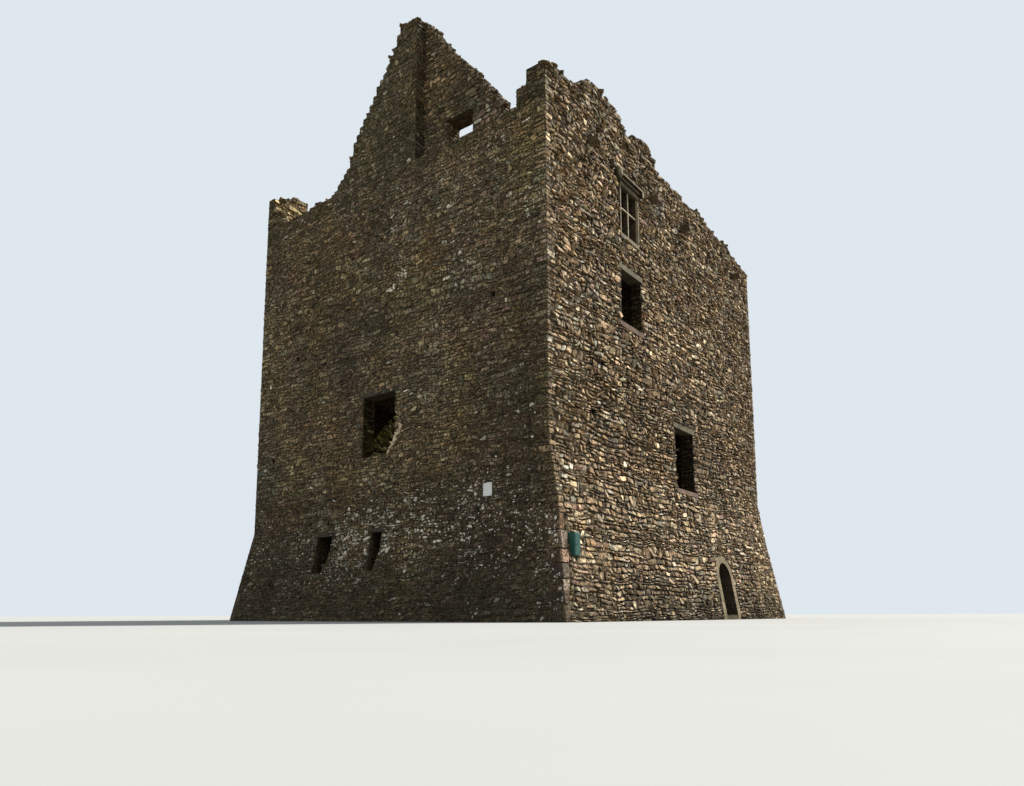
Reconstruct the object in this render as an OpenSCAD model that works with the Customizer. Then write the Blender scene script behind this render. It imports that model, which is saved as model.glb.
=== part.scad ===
// Ruined castle keep: a masonry tower on a battered foot, with a broken gable, open to the sky.
// Millimetres, +Z up. The gable wall with the loops faces -Y (front).
// The long wall with the doorway faces +X (right).
// The origin is at ground level in the middle of the footprint.

/* [Plan] */
// Width of the gable walls above the batter
keep_width = 12000; // [11000:100:14000]
// Length of the long walls above the batter
keep_depth = 15000; // [14000:100:18000]
// Wall thickness of the ground storey
ground_wall = 2100; // [1900:50:2400]
// Wall thickness of the first storey
first_wall = 1900; // [1700:50:2050]
// Wall thickness of the upper storeys
upper_wall = 1600; // [1400:50:1700]

/* [Batter] */
// Height at which the sloping foot of the front, back and left faces ends
batter_height = 2900; // [2000:50:3600]
// Height at which the sloping foot of the right face ends
right_batter_height = 4500; // [3000:50:6000]
// Outward run of the foot for each unit of height
batter_slope = 0.165; // [0.1:0.005:0.22]

/* [Storeys] */
// Thickness of the ground paving
ground_paving = 150; // [100:10:250]
// Top of the first floor
first_floor_level = 3900; // [3800:50:4100]
// Top of the first storey, where the wall steps in under the lost timber floor
second_floor_level = 7900; // [7600:50:8300]
// Top of the walls under the parapet
wall_head = 13700; // [13600:50:15000]

/* [Vault] */
// Height at which the vault springs from the side walls
vault_spring = 1100; // [800:50:1300]
// Underside of the vault at its crown
vault_crown = 3500; // [3300:50:3600]
// Thickness of the paving laid on the vault
first_paving = 100; // [60:10:150]

/* [Doorway] */
// Clear width of the doorway
door_width = 1000; // [850:10:1200]
// Height of the arch's springing above the ground
door_spring = 1400; // [1250:10:1600]
// Distance of the doorway from the middle of the right wall
door_offset = 2340; // [1800:20:3200]
// Face width of the dressed jambs and arch ring
door_dressing = 250; // [180:10:320]
// Depth of the dressed jambs behind the unbattered face
door_dressing_depth = 300; // [200:10:600]

/* [Loops] */
// Bottom of the loops
loop_sill = 1440; // [1200:20:1600]
// Height of the loops
loop_height = 1110; // [900:10:1200]
// Width of the wide loop
wide_loop = 400; // [300:10:500]
// Width of the narrow loops
narrow_loop = 240; // [150:10:320]
// Distance of the wide loop from the middle of the front wall
wide_loop_offset = -2400; // [-2600:20:-1800]
// Distance of the narrow loop from the middle of the front wall
narrow_loop_offset = -50; // [-600:10:900]
// Width of a loop's splay at the inner wall face
loop_splay = 900; // [700:20:1200]
// Length of a loop's lintel beyond the opening on each side
lintel_bearing = 130; // [80:10:350]
// Height of the loop lintels
loop_lintel = 130; // [100:10:240]

/* [Front window] */
// Width of the first-floor window
front_window_width = 1040; // [800:10:1200]
// Bottom of the first-floor window
front_window_sill = 4830; // [4600:10:5000]
// Height of the first-floor window
front_window_height = 1840; // [1500:10:2000]
// Distance of the window from the middle of the front wall
front_window_offset = -210; // [-800:10:800]
// Width of an embrasure at the inner wall face
embrasure_width = 2100; // [1700:20:2400]
// Rise of the rear arch over an embrasure
rear_arch_rise = 450; // [250:10:600]
// Height of an embrasure's bench above the first floor
embrasure_bench = 600; // [450:10:650]
// Height of the stone lintels over the windows without dressed frames
window_lintel = 160; // [120:10:320]
// Height of the sill stones under the two plain windows of the right wall
window_sill = 150; // [100:10:220]

/* [Hall window] */
// Width of the first-floor window of the right wall
hall_window_width = 1390; // [1100:10:1500]
// Bottom of the hall window
hall_window_sill = 4200; // [4100:10:4500]
// Height of the hall window
hall_window_height = 2020; // [1700:10:2200]
// Distance of the hall window from the middle of the right wall
hall_window_offset = 550; // [0:10:1500]

/* [Plain window] */
// Width of the second-storey window
plain_window_width = 1250; // [900:10:1350]
// Bottom of the second-storey window
plain_window_sill = 8750; // [8500:10:9000]
// Height of the second-storey window
plain_window_height = 1640; // [1300:10:1800]

/* [Hooded window] */
// Clear width of the two-light window
hooded_window_width = 970; // [850:10:1150]
// Depth of the two-light window's sill below the wall head
hooded_window_drop = 2080; // [2000:10:2250]
// Height of the two-light window
hooded_window_height = 1460; // [1300:10:1560]
// Height of the transom's middle above the sill
transom_height = 810; // [600:10:950]
// Face width of mullion and transom
bar_width = 50; // [40:5:140]
// Distance of both upper windows from the middle of the right wall
upper_window_offset = -2940; // [-3400:20:-2400]
// How far the hood mould stands out from the wall
hood_projection = 170; // [100:10:240]
// Length of the hood mould's return at its right end, below the string
hood_return = 120; // [50:10:180]

/* [Dressed stone] */
// Face width of the window jambs
jamb_width = 120; // [100:10:220]
// Face height of the window heads
head_height = 230; // [180:10:260]
// Face height of the window sills
sill_height = 180; // [120:10:240]
// Depth of the dressed frames
frame_depth = 320; // [220:10:420]
// Chamfer round the openings
frame_chamfer = 55; // [20:5:80]
// How far dressed stone stands out from the core of the walls
dressing_proud = 25; // [0:5:40]

/* [Wall head] */
// Thickness of the parapets
parapet_wall = 600; // [450:10:700]
// Thickness of the gable
gable_wall = 900; // [700:10:1000]
// Set-back of the gable's wing behind the wall face
wing_set_back = 340; // [200:10:400]
// Width of the attic window
attic_window_width = 1000; // [800:10:1100]
// Bottom of the attic window above the wall head
attic_window_sill = 200; // [100:10:300]
// Height of the attic window
attic_window_height = 840; // [600:10:900]
// Distance of the attic window from the middle of the gable
attic_window_offset = 2750; // [2600:10:2900]
// Thickness of the wall-walk flags
walk_paving = 100; // [60:10:140]
// Face width and height of the drain spouts
spout_size = 180; // [140:10:200]
// Depth of the spouts' underside below the wall head
spout_drop = 260; // [220:10:400]

/* [Fittings] */
// Width of the notice plate
plate_width = 290; // [200:5:400]
// Height of the notice plate
plate_height = 350; // [250:5:450]
// Gap between the top of the batter and the notice plate
plate_gap = 315; // [100:5:500]
// Width of the wall box
box_width = 250; // [200:10:400]
// Height of the wall box
box_height = 560; // [400:10:700]

/* [Hidden] */
$fn = 96;
// Length of stone and height of course at broken edges
stone = 290;
course = 145;
// Overrun of a cut past the face it opens
over = 50;
// Width, height and depth of the putlog holes
putlog_size = 140;
putlog_depth = 380;

left_batter = batter_height * batter_slope;
right_batter = right_batter_height * batter_slope;
centre_x = (left_batter - right_batter) / 2;
face_left = centre_x - keep_width / 2;
face_right = centre_x + keep_width / 2;
face_front = -keep_depth / 2;
face_back = keep_depth / 2;
base_left = face_left - left_batter;
base_right = face_right + right_batter;
base_front = face_front - left_batter;
base_back = face_back + left_batter;
// Room for the broken gables above the wall head
gable_room = 6000;
block_top = wall_head + gable_room;

vault_half = keep_width / 2 - ground_wall;
vault_rise = vault_crown - vault_spring;
vault_radius = (vault_half * vault_half + vault_rise * vault_rise) / (2 * vault_rise);

door_outer = door_width / 2 + door_dressing;
hooded_window_sill = wall_head - hooded_window_drop;
hooded_window_head = hooded_window_sill + hooded_window_height;
loop_head = loop_sill + loop_height;

// Broken edges: heights above the wall head, against the distance from the middle of the gable wall
stack_edge = [[-2550, 150], [-2200, 430], [-1670, 900], [-1470, 1600], [-1130, 2150], [-730, 2700],
    [-430, 3130], [-130, 3530], [200, 4030], [440, 4300], [500, 4830], [930, 4860], [1280, 4730]];
wing_edge = [[1280, 4800], [1480, 4560], [1820, 4010], [2090, 3670], [2430, 3200], [2840, 2720],
    [3090, 2350], [3350, 2100], [3500, 1830], [3800, 1560], [3970, 1220], [4340, 670], [4500, 400]];
back_gable_edge = [[-4400, 300], [-3700, 700], [-3000, 1700], [-2200, 2600], [-1300, 3300], [-500, 4100],
    [200, 4000], [1000, 3100], [1900, 2500], [2600, 1300], [3600, 700], [4400, 250]];
stack_left = stack_edge[0][0];
stack_right = wing_edge[0][0];
// The same for the parapets, against the distance from the front face
right_parapet_edge = [[0, 1040], [730, 1110], [1800, 1300], [1950, 1600], [2700, 1930], [4070, 1770],
    [4300, 1640], [4340, 1320], [4760, 1300], [5460, 1770], [6320, 1590], [6360, 1260], [7100, 990],
    [7600, 1200], [9000, 1000], [10200, 1250], [11500, 900], [12600, 1100], [13600, 700], [15000, 600]];
left_parapet_edge = [[0, 1230], [480, 1360], [1200, 1760], [1400, 1700], [1460, 700], [2500, 500],
    [4000, 900], [6000, 400], [8000, 1000], [10000, 300], [12000, 800], [15000, 500]];
// Its inner skin has fallen near the front corner
left_inner_edge = [[0, 750], [250, 450], [600, 150], [1200, 220], [1500, 520], [2500, 500],
    [4000, 900], [6000, 400], [8000, 1000], [10000, 300], [12000, 800], [15000, 500]];
// The same for the front parapet's remains, against the distance from the inner face of the side parapets
front_remains_left = [[0, 600], [200, 350], [450, 110], [1700, 100], [2400, 170], [2850, 150]];
front_remains_right = [[0, 650], [200, 600], [260, 110], [1000, 90]];
back_remains = [[0, 700], [900, 250], [2400, 120], [5000, 160], [8000, 110], [10000, 300], [10800, 800]];

// Putlog holes: distance from the middle of the wall and level of the hole's underside
front_putlogs = [[-4000, 8530], [4270, 8600], [-5090, 5230]];
right_putlogs = [[-5400, 6830], [-4790, 7060], [-5340, 5530]];
back_putlogs = [[-4000, 8600], [0, 8600], [4000, 8600], [-4000, 5300], [4000, 5300]];
left_putlogs = [[-4000, 8600], [0, 8600], [-4000, 5300], [4000, 5300]];

// Drain spouts: distance from the front face and projection; some are broken short
right_spouts = [[980, 120], [2220, 360], [3520, 140], [6060, 320], [8400, 360], [10800, 130], [13150, 380]];
left_spouts = [[2100, 360], [4700, 140], [7300, 350], [9900, 370], [12500, 160]];

// Repeatable scatter between 0 and 1
function scatter(i, seed) = let (s = sin(i * 127.1 + seed * 311.7) * 43758.5453) s - floor(s);

// Points without repeats
function distinct(points) = [for (i = [0:len(points) - 1])
    if (i == 0 || norm(points[i] - points[i - 1]) > 1) points[i]];

// Stepped edge of broken courses between two distances, following a table of heights.
// Bond is the share of a stone by which the joints move, so that two skins break bond
function broken_edge(table, from, to, length, seed, bond) =
    let (n = max(2, round((to - from) / length)), step = (to - from) / n)
    distinct([for (i = [0:n - 1 + ceil(bond)])
        let (a = max(from, from + step * (i - bond)), b = min(to, from + step * (i + 1 - bond)),
            h = course / 2 * round((lookup((a + b) / 2, table)
                + course * (scatter(i, seed) - 0.5)) / (course / 2)))
        each [[a, max(course / 2, h)], [b, max(course / 2, h)]]]);

module broken_face(table, from, to, length, seed, bond = 0)
    polygon(concat([[from, 0]], broken_edge(table, from, to, length, seed, bond), [[to, 0]]));

// A drawing in X and Z given a thickness from y_from towards +Y
module along_y(y_from, thickness)
    translate([0, y_from + thickness, 0]) rotate([90, 0, 0]) linear_extrude(thickness) children();

// A drawing in Y and Z given a thickness from x_from towards +X
module along_x(x_from, thickness)
    translate([x_from, 0, 0]) rotate([90, 0, 90]) linear_extrude(thickness) children();

// A box between two corners
module span(low, high) translate(low) cube(high - low);

// Square pits for scaffold poles, in the outer skin
module putlog_holes(places) for (h = places)
    span([h[0] - putlog_size / 2, -over, h[1]], [h[0] + putlog_size / 2, putlog_depth, h[1] + putlog_size]);

// Outer form of the tower: vertical faces on a battered foot. Dressed stone may stand proud of it
module battered_block(proud = 0) {
    intersection() {
        along_y(base_front - proud, base_back - base_front + 2 * proud)
            polygon([[base_left - proud, 0], [base_right + proud, 0],
                [face_right + proud, right_batter_height], [face_right + proud, block_top],
                [face_left - proud, block_top], [face_left - proud, batter_height]]);
        along_x(base_left - proud, base_right - base_left + 2 * proud)
            polygon([[base_front - proud, 0], [base_back + proud, 0],
                [face_back + proud, batter_height], [face_back + proud, block_top],
                [face_front - proud, block_top], [face_front - proud, batter_height]]);
    }
}

// One wall's share of a storey, cut from the outer form
module front_share(bottom, top, wall) intersection() {
    battered_block();
    span([base_left, base_front, bottom], [base_right, face_front + wall, top]);
}
module back_share(bottom, top, wall) intersection() {
    battered_block();
    span([base_left, face_back - wall, bottom], [base_right, base_back, top]);
}
module left_share(bottom, top, wall) intersection() {
    battered_block();
    span([base_left, face_front + wall, bottom], [face_left + wall, face_back - wall, top]);
}
module right_share(bottom, top, wall, from, to) intersection() {
    battered_block();
    span([face_right - wall, from, bottom], [base_right, to, top]);
}

// Places what is drawn for a wall seen from outside: x to the right, y into the wall, from its outer face
module at_front(offset) translate([centre_x + offset, face_front, 0]) children();
module at_right(offset) translate([face_right, offset, 0]) rotate([0, 0, 90]) children();
module at_back(offset) translate([centre_x + offset, face_back, 0]) rotate([0, 0, 180]) children();
module at_left(offset) translate([face_left, offset, 0]) rotate([0, 0, -90]) children();

// Upright outline with a flat head, or with a segmental arch where rise is above 0
module arched_outline(width, bottom, top, rise) {
    translate([-width / 2, bottom]) square([width, top - rise - bottom]);
    if (rise > 0) {
        radius = (width * width / 4 + rise * rise) / (2 * rise);
        intersection() {
            translate([0, top - radius]) circle(radius);
            translate([-width / 2, top - rise - 1]) square([width, rise + 2]);
        }
    }
}

// Cut through a wall: a straight throat outside, a rebate on each side, then a splay to the inner face
module splayed_cut(width, sill, head, rebate, inner_width, inner_sill, inner_head, rise, wall, throat) {
    outside = left_batter + right_batter + over;
    span([-width / 2, -outside, sill], [width / 2, throat + over, head]);
    intersection() {
        linear_extrude(inner_head + over) polygon([[-width / 2 - rebate, throat],
            [width / 2 + rebate, throat], [inner_width / 2, wall], [inner_width / 2, wall + over],
            [-inner_width / 2, wall + over], [-inner_width / 2, wall]]);
        along_y(throat - over, wall + 2 * over - throat)
            arched_outline(inner_width, inner_sill, inner_head, rise);
    }
}

// Upper part of a right jamb broken out of the wall's outer skin.
// Runs lists, from the head down, how far it has gone at which share of the opening's height
module broken_jamb(width, sill, head, runs, depth) {
    outside = left_batter + over;
    along_y(-outside, outside + depth) polygon(concat([[width / 2 - 1, head]],
        [for (r = runs) [width / 2 + r[1], sill + (head - sill) * r[0]]],
        [[width / 2, sill], [width / 2 - 1, sill]]));
}

module loop_cut(width) splayed_cut(width, loop_sill, loop_head, loop_rebate, loop_splay, loop_sill,
    loop_head, 0, ground_wall, loop_throat);

// Bed of a lintel in the outer skin, or the lintel itself
module lintel_block(width, bottom, height, depth, right_extra) {
    outside = left_batter + right_batter;
    span([-width / 2 - lintel_bearing, -outside, bottom],
        [width / 2 + right_extra + lintel_bearing, depth, bottom + height]);
}

// Widening of the broken loops and of the front window at the head
wide_loop_break = 290;
narrow_loop_break = 190;
front_window_break = 330;
// Further widening of the front window where the most stone is gone
front_window_bulge = 350;
lintel_depth = 350;
// Depth of the straight outer part of loops and windows, and the step behind it
loop_throat = 400;
loop_rebate = 120;
window_throat = 450;
window_rebate = 380;
hall_rebate = 160;
upper_throat = 320;
upper_rebate = 160;

module front_loop_lintels() {
    at_front(wide_loop_offset)
        lintel_block(wide_loop, loop_head, loop_lintel, lintel_depth, wide_loop_break);
    at_front(narrow_loop_offset)
        lintel_block(narrow_loop, loop_head, loop_lintel, lintel_depth, narrow_loop_break);
}
module back_loop_lintels() {
    at_back(wide_loop_offset) lintel_block(narrow_loop, loop_head, loop_lintel, lintel_depth, 0);
    at_back(-wide_loop_offset) lintel_block(narrow_loop, loop_head, loop_lintel, lintel_depth, 0);
}
module left_loop_lintel() at_left(0) lintel_block(narrow_loop, loop_head, loop_lintel, lintel_depth, 0);

// Ground storey

module front_wall_base() color("#6f6657") difference() {
    front_share(0, first_floor_level, ground_wall);
    at_front(wide_loop_offset) loop_cut(wide_loop);
    at_front(wide_loop_offset)
        broken_jamb(wide_loop, loop_sill, loop_head, [[1, wide_loop_break], [0.5, wide_loop_break]],
            loop_throat);
    at_front(narrow_loop_offset) loop_cut(narrow_loop);
    at_front(narrow_loop_offset)
        broken_jamb(narrow_loop, loop_sill, loop_head,
            [[1, narrow_loop_break], [0.5, narrow_loop_break]], loop_throat);
    front_loop_lintels();
}

module back_wall_base() color("#6f6657") difference() {
    back_share(0, first_floor_level, ground_wall);
    at_back(wide_loop_offset) loop_cut(narrow_loop);
    at_back(-wide_loop_offset) loop_cut(narrow_loop);
    back_loop_lintels();
}

module left_wall_base() color("#6f6657") difference() {
    left_share(0, first_floor_level, ground_wall);
    at_left(0) loop_cut(narrow_loop);
    left_loop_lintel();
}

module right_wall_base_front() color("#8d8069")
    right_share(0, first_floor_level, ground_wall, face_front + ground_wall, door_offset - door_outer);

module right_wall_base_back() color("#8d8069")
    right_share(0, first_floor_level, ground_wall, door_offset + door_outer, face_back - ground_wall);

// Round-headed outline of the passage and, with a smaller half width, of the doorway
module door_outline(half_width, bottom) {
    translate([-half_width, bottom]) square([2 * half_width, door_spring - bottom]);
    intersection() {
        translate([0, door_spring]) circle(half_width);
        translate([-half_width, door_spring - 1]) square([2 * half_width, half_width + 2]);
    }
}

module doorway_head() color("#8d8069") difference() {
    right_share(door_spring, first_floor_level, ground_wall, door_offset - door_outer,
        door_offset + door_outer);
    translate([0, door_offset, 0]) along_x(face_right - ground_wall - over,
        ground_wall + right_batter + 2 * over) door_outline(door_outer, 0);
}

module doorway_surround() color("#94795c") intersection() {
    battered_block(dressing_proud);
    translate([0, door_offset, 0]) along_x(face_right - door_dressing_depth,
        door_dressing_depth + right_batter) difference() {
            door_outline(door_outer, 0);
            door_outline(door_width / 2, -over);
        }
}

module ground_floor() color("#7a7468") intersection() {
    battered_block();
    union() {
        span([face_left + ground_wall, face_front + ground_wall, 0],
            [face_right - ground_wall, face_back - ground_wall, ground_paving]);
        span([face_right - ground_wall - 1, door_offset - door_outer, 0],
            [face_right - door_dressing_depth, door_offset + door_outer, ground_paving]);
        span([face_right - door_dressing_depth - 1, door_offset - door_width / 2, 0],
            [base_right, door_offset + door_width / 2, ground_paving]);
    }
}

// Barrel vault with its haunches filled up to the first paving
module barrel_vault() color("#7d705d") difference() {
    span([face_left + ground_wall, face_front + ground_wall, vault_spring],
        [face_right - ground_wall, face_back - ground_wall, first_floor_level - first_paving]);
    translate([centre_x, 0, 0]) along_y(face_front, keep_depth) intersection() {
        translate([0, vault_crown - vault_radius]) circle(vault_radius);
        translate([-vault_half, vault_spring - over])
            square([2 * vault_half, vault_rise + 2 * over]);
    }
    translate([0, door_offset, 0]) along_x(centre_x + vault_half / 2, vault_half)
        door_outline(door_outer, 0);
    at_left(0) span([-loop_splay / 2, ground_wall - over, vault_spring - over],
        [loop_splay / 2, ground_wall + vault_half / 2, loop_head]);
}

// First storey

module first_floor() color("#7a7468")
    span([face_left + ground_wall, face_front + ground_wall, first_floor_level - first_paving],
        [face_right - ground_wall, face_back - ground_wall, first_floor_level]);

front_window_head = front_window_sill + front_window_height;

module front_window_cut() splayed_cut(front_window_width, front_window_sill, front_window_head,
    window_rebate, embrasure_width, first_floor_level + embrasure_bench,
    front_window_head + rear_arch_rise, rear_arch_rise, first_wall, window_throat);

module front_window_lintel(extra)
    lintel_block(front_window_width, front_window_head, window_lintel, lintel_depth, extra);

module front_wall_first() color("#6f6657") difference() {
    front_share(first_floor_level, second_floor_level, first_wall);
    at_front(front_window_offset) {
        front_window_cut();
        broken_jamb(front_window_width, front_window_sill, front_window_head,
            [[1, front_window_break], [0.66, front_window_break],
                [0.42, front_window_break + front_window_bulge]], window_throat);
        front_window_lintel(front_window_break);
    }
    at_front(0) putlog_holes(front_putlogs);
}

module back_wall_first() color("#6f6657") difference() {
    back_share(first_floor_level, second_floor_level, first_wall);
    at_back(0) front_window_cut();
    at_back(0) front_window_lintel(0);
    at_back(0) putlog_holes(back_putlogs);
}

module left_wall_first() color("#6f6657") difference() {
    left_share(first_floor_level, second_floor_level, first_wall);
    at_left(0) front_window_cut();
    at_left(0) front_window_lintel(0);
    at_left(0) putlog_holes(left_putlogs);
}

// Seat of a dressed frame in a wall's outer skin
module frame_seat(width, sill, head)
    span([-width / 2 - jamb_width, -over - right_batter, sill - sill_height],
        [width / 2 + jamb_width, frame_depth, head + head_height]);

// Aperture of a frame, chamfered at its outer edge, which lies at 0
module chamfered_aperture(width, sill, head, depth) intersection() {
    linear_extrude(head + head_height) polygon([[-width / 2 - frame_chamfer - over, -over],
        [width / 2 + frame_chamfer + over, -over], [width / 2, frame_chamfer],
        [width / 2, depth + over], [-width / 2, depth + over], [-width / 2, frame_chamfer]]);
    along_x(-width, 2 * width) polygon([[-over, sill - frame_chamfer - over],
        [frame_chamfer, sill], [depth + over, sill], [depth + over, head],
        [frame_chamfer, head], [-over, head + frame_chamfer + over]]);
}

// Block of a dressed frame, from its proud face to its back
module frame_block(width, sill, head)
    span([-width / 2 - jamb_width, -dressing_proud, sill - sill_height],
        [width / 2 + jamb_width, frame_depth, head + head_height]);

// Dressed jambs, head and sill round a window
module frame(width, sill, head) difference() {
    frame_block(width, sill, head);
    translate([0, -dressing_proud, 0])
        chamfered_aperture(width, sill, head, frame_depth + dressing_proud);
}

// Step up from the first floor into the hall window's embrasure
hall_step = 150;
hall_window_head = hall_window_sill + hall_window_height;
plain_window_head = plain_window_sill + plain_window_height;

module right_wall_first() color("#8d8069") difference() {
    right_share(first_floor_level, second_floor_level, first_wall, face_front + first_wall,
        face_back - first_wall);
    at_right(hall_window_offset)
        splayed_cut(hall_window_width, hall_window_sill, hall_window_head, hall_rebate,
            embrasure_width, first_floor_level + hall_step, hall_window_head + rear_arch_rise,
            rear_arch_rise, first_wall, window_throat);
    hall_window_lintel();
    hall_window_sill_stone();
    at_right(0) putlog_holes(right_putlogs);
}

// Upper storeys

// Widening of an upper window towards the inside on each side, and the drop of its inner sill
upper_splay = 300;
upper_sill_drop = 150;

module upper_cut(width, sill, head, rebate, throat) splayed_cut(width, sill, head, rebate,
    width + 2 * upper_splay, sill - upper_sill_drop, head, 0, upper_wall, throat);

module front_wall_upper() color("#6f6657") difference() {
    front_share(second_floor_level, wall_head, upper_wall);
    at_front(0) putlog_holes(front_putlogs);
    right_spout_blocks();
    right_outlets();
}

module back_wall_upper() color("#6f6657") difference() {
    back_share(second_floor_level, wall_head, upper_wall);
    at_back(0) putlog_holes(back_putlogs);
}

module left_upper_windows() {
    at_left(-upper_window_offset) {
        upper_cut(front_window_width, plain_window_sill, plain_window_head, upper_rebate,
            upper_throat);
        upper_cut(front_window_width, hooded_window_sill, hooded_window_head, upper_rebate,
            upper_throat);
    }
}

module left_upper_lintels() {
    at_left(-upper_window_offset)
        lintel_block(front_window_width, plain_window_head, window_lintel, lintel_depth, 0);
    at_left(-upper_window_offset)
        lintel_block(front_window_width, hooded_window_head, window_lintel, lintel_depth, 0);
}

module left_wall_upper() color("#6f6657") difference() {
    left_share(second_floor_level, wall_head, upper_wall);
    left_upper_windows();
    left_upper_lintels();
    at_left(0) putlog_holes(left_putlogs);
    left_spout_blocks();
    left_outlets();
}

module right_wall_upper() color("#8d8069") difference() {
    right_share(second_floor_level, wall_head, upper_wall, face_front + upper_wall,
        face_back - upper_wall);
    at_right(upper_window_offset) {
        upper_cut(plain_window_width, plain_window_sill, plain_window_head, upper_rebate,
            upper_throat);
        frame_seat(hooded_window_width, hooded_window_sill, hooded_window_head);
        upper_cut(hooded_window_width, hooded_window_sill, hooded_window_head, jamb_width,
            frame_depth);
    }
    plain_window_lintel();
    plain_window_sill_stone();
    right_spout_blocks();
    right_outlets();
}

module hooded_window_surround() color("#a08a6b")
    at_right(upper_window_offset) frame(hooded_window_width, hooded_window_sill, hooded_window_head);

// Mullion and transom share one depth and stand behind the frame's chamfer
bar_depth = 180;
bar_face = frame_chamfer - dressing_proud;
transom_low = hooded_window_sill + transom_height - bar_width / 2;
transom_high = transom_low + bar_width;
bar_chamfer = bar_width * 0.3;

module bar_section() polygon([[-bar_width / 2, bar_chamfer], [-bar_width / 2 + bar_chamfer, 0],
    [bar_width / 2 - bar_chamfer, 0], [bar_width / 2, bar_chamfer], [bar_width / 2, bar_depth],
    [-bar_width / 2, bar_depth]]);

module hooded_window_mullion() color("#a08a6b")
    at_right(upper_window_offset) translate([0, bar_face, 0]) {
        translate([0, 0, hooded_window_sill])
            linear_extrude(transom_low - hooded_window_sill) bar_section();
        translate([0, 0, transom_high])
            linear_extrude(hooded_window_head - transom_high) bar_section();
    }

module hooded_window_transom() color("#a08a6b")
    at_right(upper_window_offset) translate([0, bar_face, 0]) {
        translate([-hooded_window_width / 2, 0, (transom_low + transom_high) / 2])
            rotate([0, 90, 0]) linear_extrude(hooded_window_width) bar_section();
        span([-bar_width / 2, bar_chamfer, transom_low], [bar_width / 2, bar_depth, transom_high]);
    }

// Hood mould: a weathered string on the window's head, with a worn round stop at its left end
// Reach past the frame, height of the string, and of its upright nose above the underside
hood_reach = 95;
hood_height = 220;
hood_nose = 90;
hood_fillet = 45;
hood_roll = 32;
return_width = hood_reach - 10;
// Radius of the stop, and levels of its two ball centres above the string's underside
stop_radius = 130;
stop_low = 25;
stop_high = 145;

// Hollow underside with a roll at the wall, an upright fillet at the nose and a weathered top
module hood_section() {
    difference() {
        polygon([[0, 0], [-hood_projection, hood_nose - hood_fillet], [-hood_projection, hood_nose],
            [0, hood_height]]);
        translate([-hood_projection / 2, 0]) circle(hood_projection / 4);
    }
    translate([-hood_roll - dressing_proud, 0]) circle(hood_roll);
}

module hood_mould() color("#a08a6b") at_right(upper_window_offset) {
    frame_half = hooded_window_width / 2 + jamb_width;
    half = frame_half + hood_reach;
    translate([0, 0, hooded_window_head + head_height]) {
        along_x(-half, 2 * half) hood_section();
        span([half - return_width, -hood_projection, -hood_return], [half, 0, hood_nose]);
        // The stop hangs just clear of the frame's side
        intersection() {
            translate([-frame_half - stop_radius, stop_radius - hood_projection - dressing_proud, 0]) {
                translate([0, 0, stop_low]) cylinder(stop_high - stop_low, r = stop_radius);
                for (end = [stop_low, stop_high]) translate([0, 0, end]) sphere(stop_radius);
            }
            span([-frame_half - 2 * stop_radius, -2 * hood_projection, stop_low - stop_radius],
                [-frame_half, 0, stop_high + stop_radius]);
        }
    }
}

module plain_window_lintel() at_right(upper_window_offset)
    lintel_block(plain_window_width, plain_window_head, window_lintel, lintel_depth, 0);
module plain_window_sill_stone() at_right(upper_window_offset)
    lintel_block(plain_window_width, plain_window_sill - window_sill, window_sill, upper_throat, 0);
module hall_window_lintel() at_right(hall_window_offset)
    lintel_block(hall_window_width, hall_window_head, window_lintel, lintel_depth, 0);
module hall_window_sill_stone() at_right(hall_window_offset)
    lintel_block(hall_window_width, hall_window_sill - window_sill, window_sill, window_throat, 0);

module window_lintels() color("#94795c") intersection() {
    union() {
        at_front(front_window_offset) front_window_lintel(front_window_break);
        at_back(0) front_window_lintel(0);
        at_left(0) front_window_lintel(0);
        left_upper_lintels();
        hall_window_lintel();
        plain_window_lintel();
    }
    battered_block(dressing_proud);
}

module window_sills() color("#94795c") intersection() {
    union() {
        hall_window_sill_stone();
        plain_window_sill_stone();
    }
    battered_block(dressing_proud);
}

module loop_lintels() color("#94795c") intersection() {
    union() {
        front_loop_lintels();
        back_loop_lintels();
        left_loop_lintel();
    }
    battered_block(dressing_proud);
}

// Wall head

// A broken wall in the plane of the gables, in two skins that break differently
module broken_gable(table, from, to, y_from, y_to, seed) translate([centre_x, 0, wall_head]) {
    middle = (y_from + y_to) / 2;
    along_y(y_from, middle - y_from) broken_face(table, from, to, stone / 2, seed);
    along_y(middle, y_to - middle) broken_face(table, from, to, stone / 2, seed + 1, 0.5);
}

module front_gable_stack() color("#6f6657") broken_gable(stack_edge, stack_left, stack_right,
    face_front, face_front + gable_wall, 3);

module front_gable_wing() color("#655c4e") difference() {
    broken_gable(wing_edge, stack_right, keep_width / 2 - upper_wall, face_front + wing_set_back,
        face_front + gable_wall, 7);
    at_front(attic_window_offset) span([-attic_window_width / 2, 0, wall_head + attic_window_sill],
        [attic_window_width / 2, gable_wall + over,
            wall_head + attic_window_sill + attic_window_height]);
}

module back_gable() color("#6f6657") difference() {
    broken_gable(back_gable_edge, upper_wall - keep_width / 2, keep_width / 2 - upper_wall,
        face_back - gable_wall, face_back - wing_set_back, 11);
    at_back(0) span([-attic_window_width / 2, 0, wall_head + attic_window_sill],
        [attic_window_width / 2, gable_wall + over,
            wall_head + attic_window_sill + attic_window_height]);
}

// A side parapet in two skins; drawn from the front face towards the back
module broken_parapet(low_table, high_table, x_from, x_to, seed) translate([0, face_front, wall_head]) {
    middle = (x_from + x_to) / 2;
    along_x(x_from, middle - x_from) broken_face(low_table, 0, keep_depth, stone, seed);
    along_x(middle, x_to - middle) broken_face(high_table, 0, keep_depth, stone, seed + 1, 0.5);
}

module right_parapet() color("#8d8069")
    broken_parapet(right_parapet_edge, right_parapet_edge, face_right - parapet_wall, face_right, 17);

module left_parapet() color("#6f6657")
    broken_parapet(left_parapet_edge, left_inner_edge, face_left, face_left + parapet_wall, 23);

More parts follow.
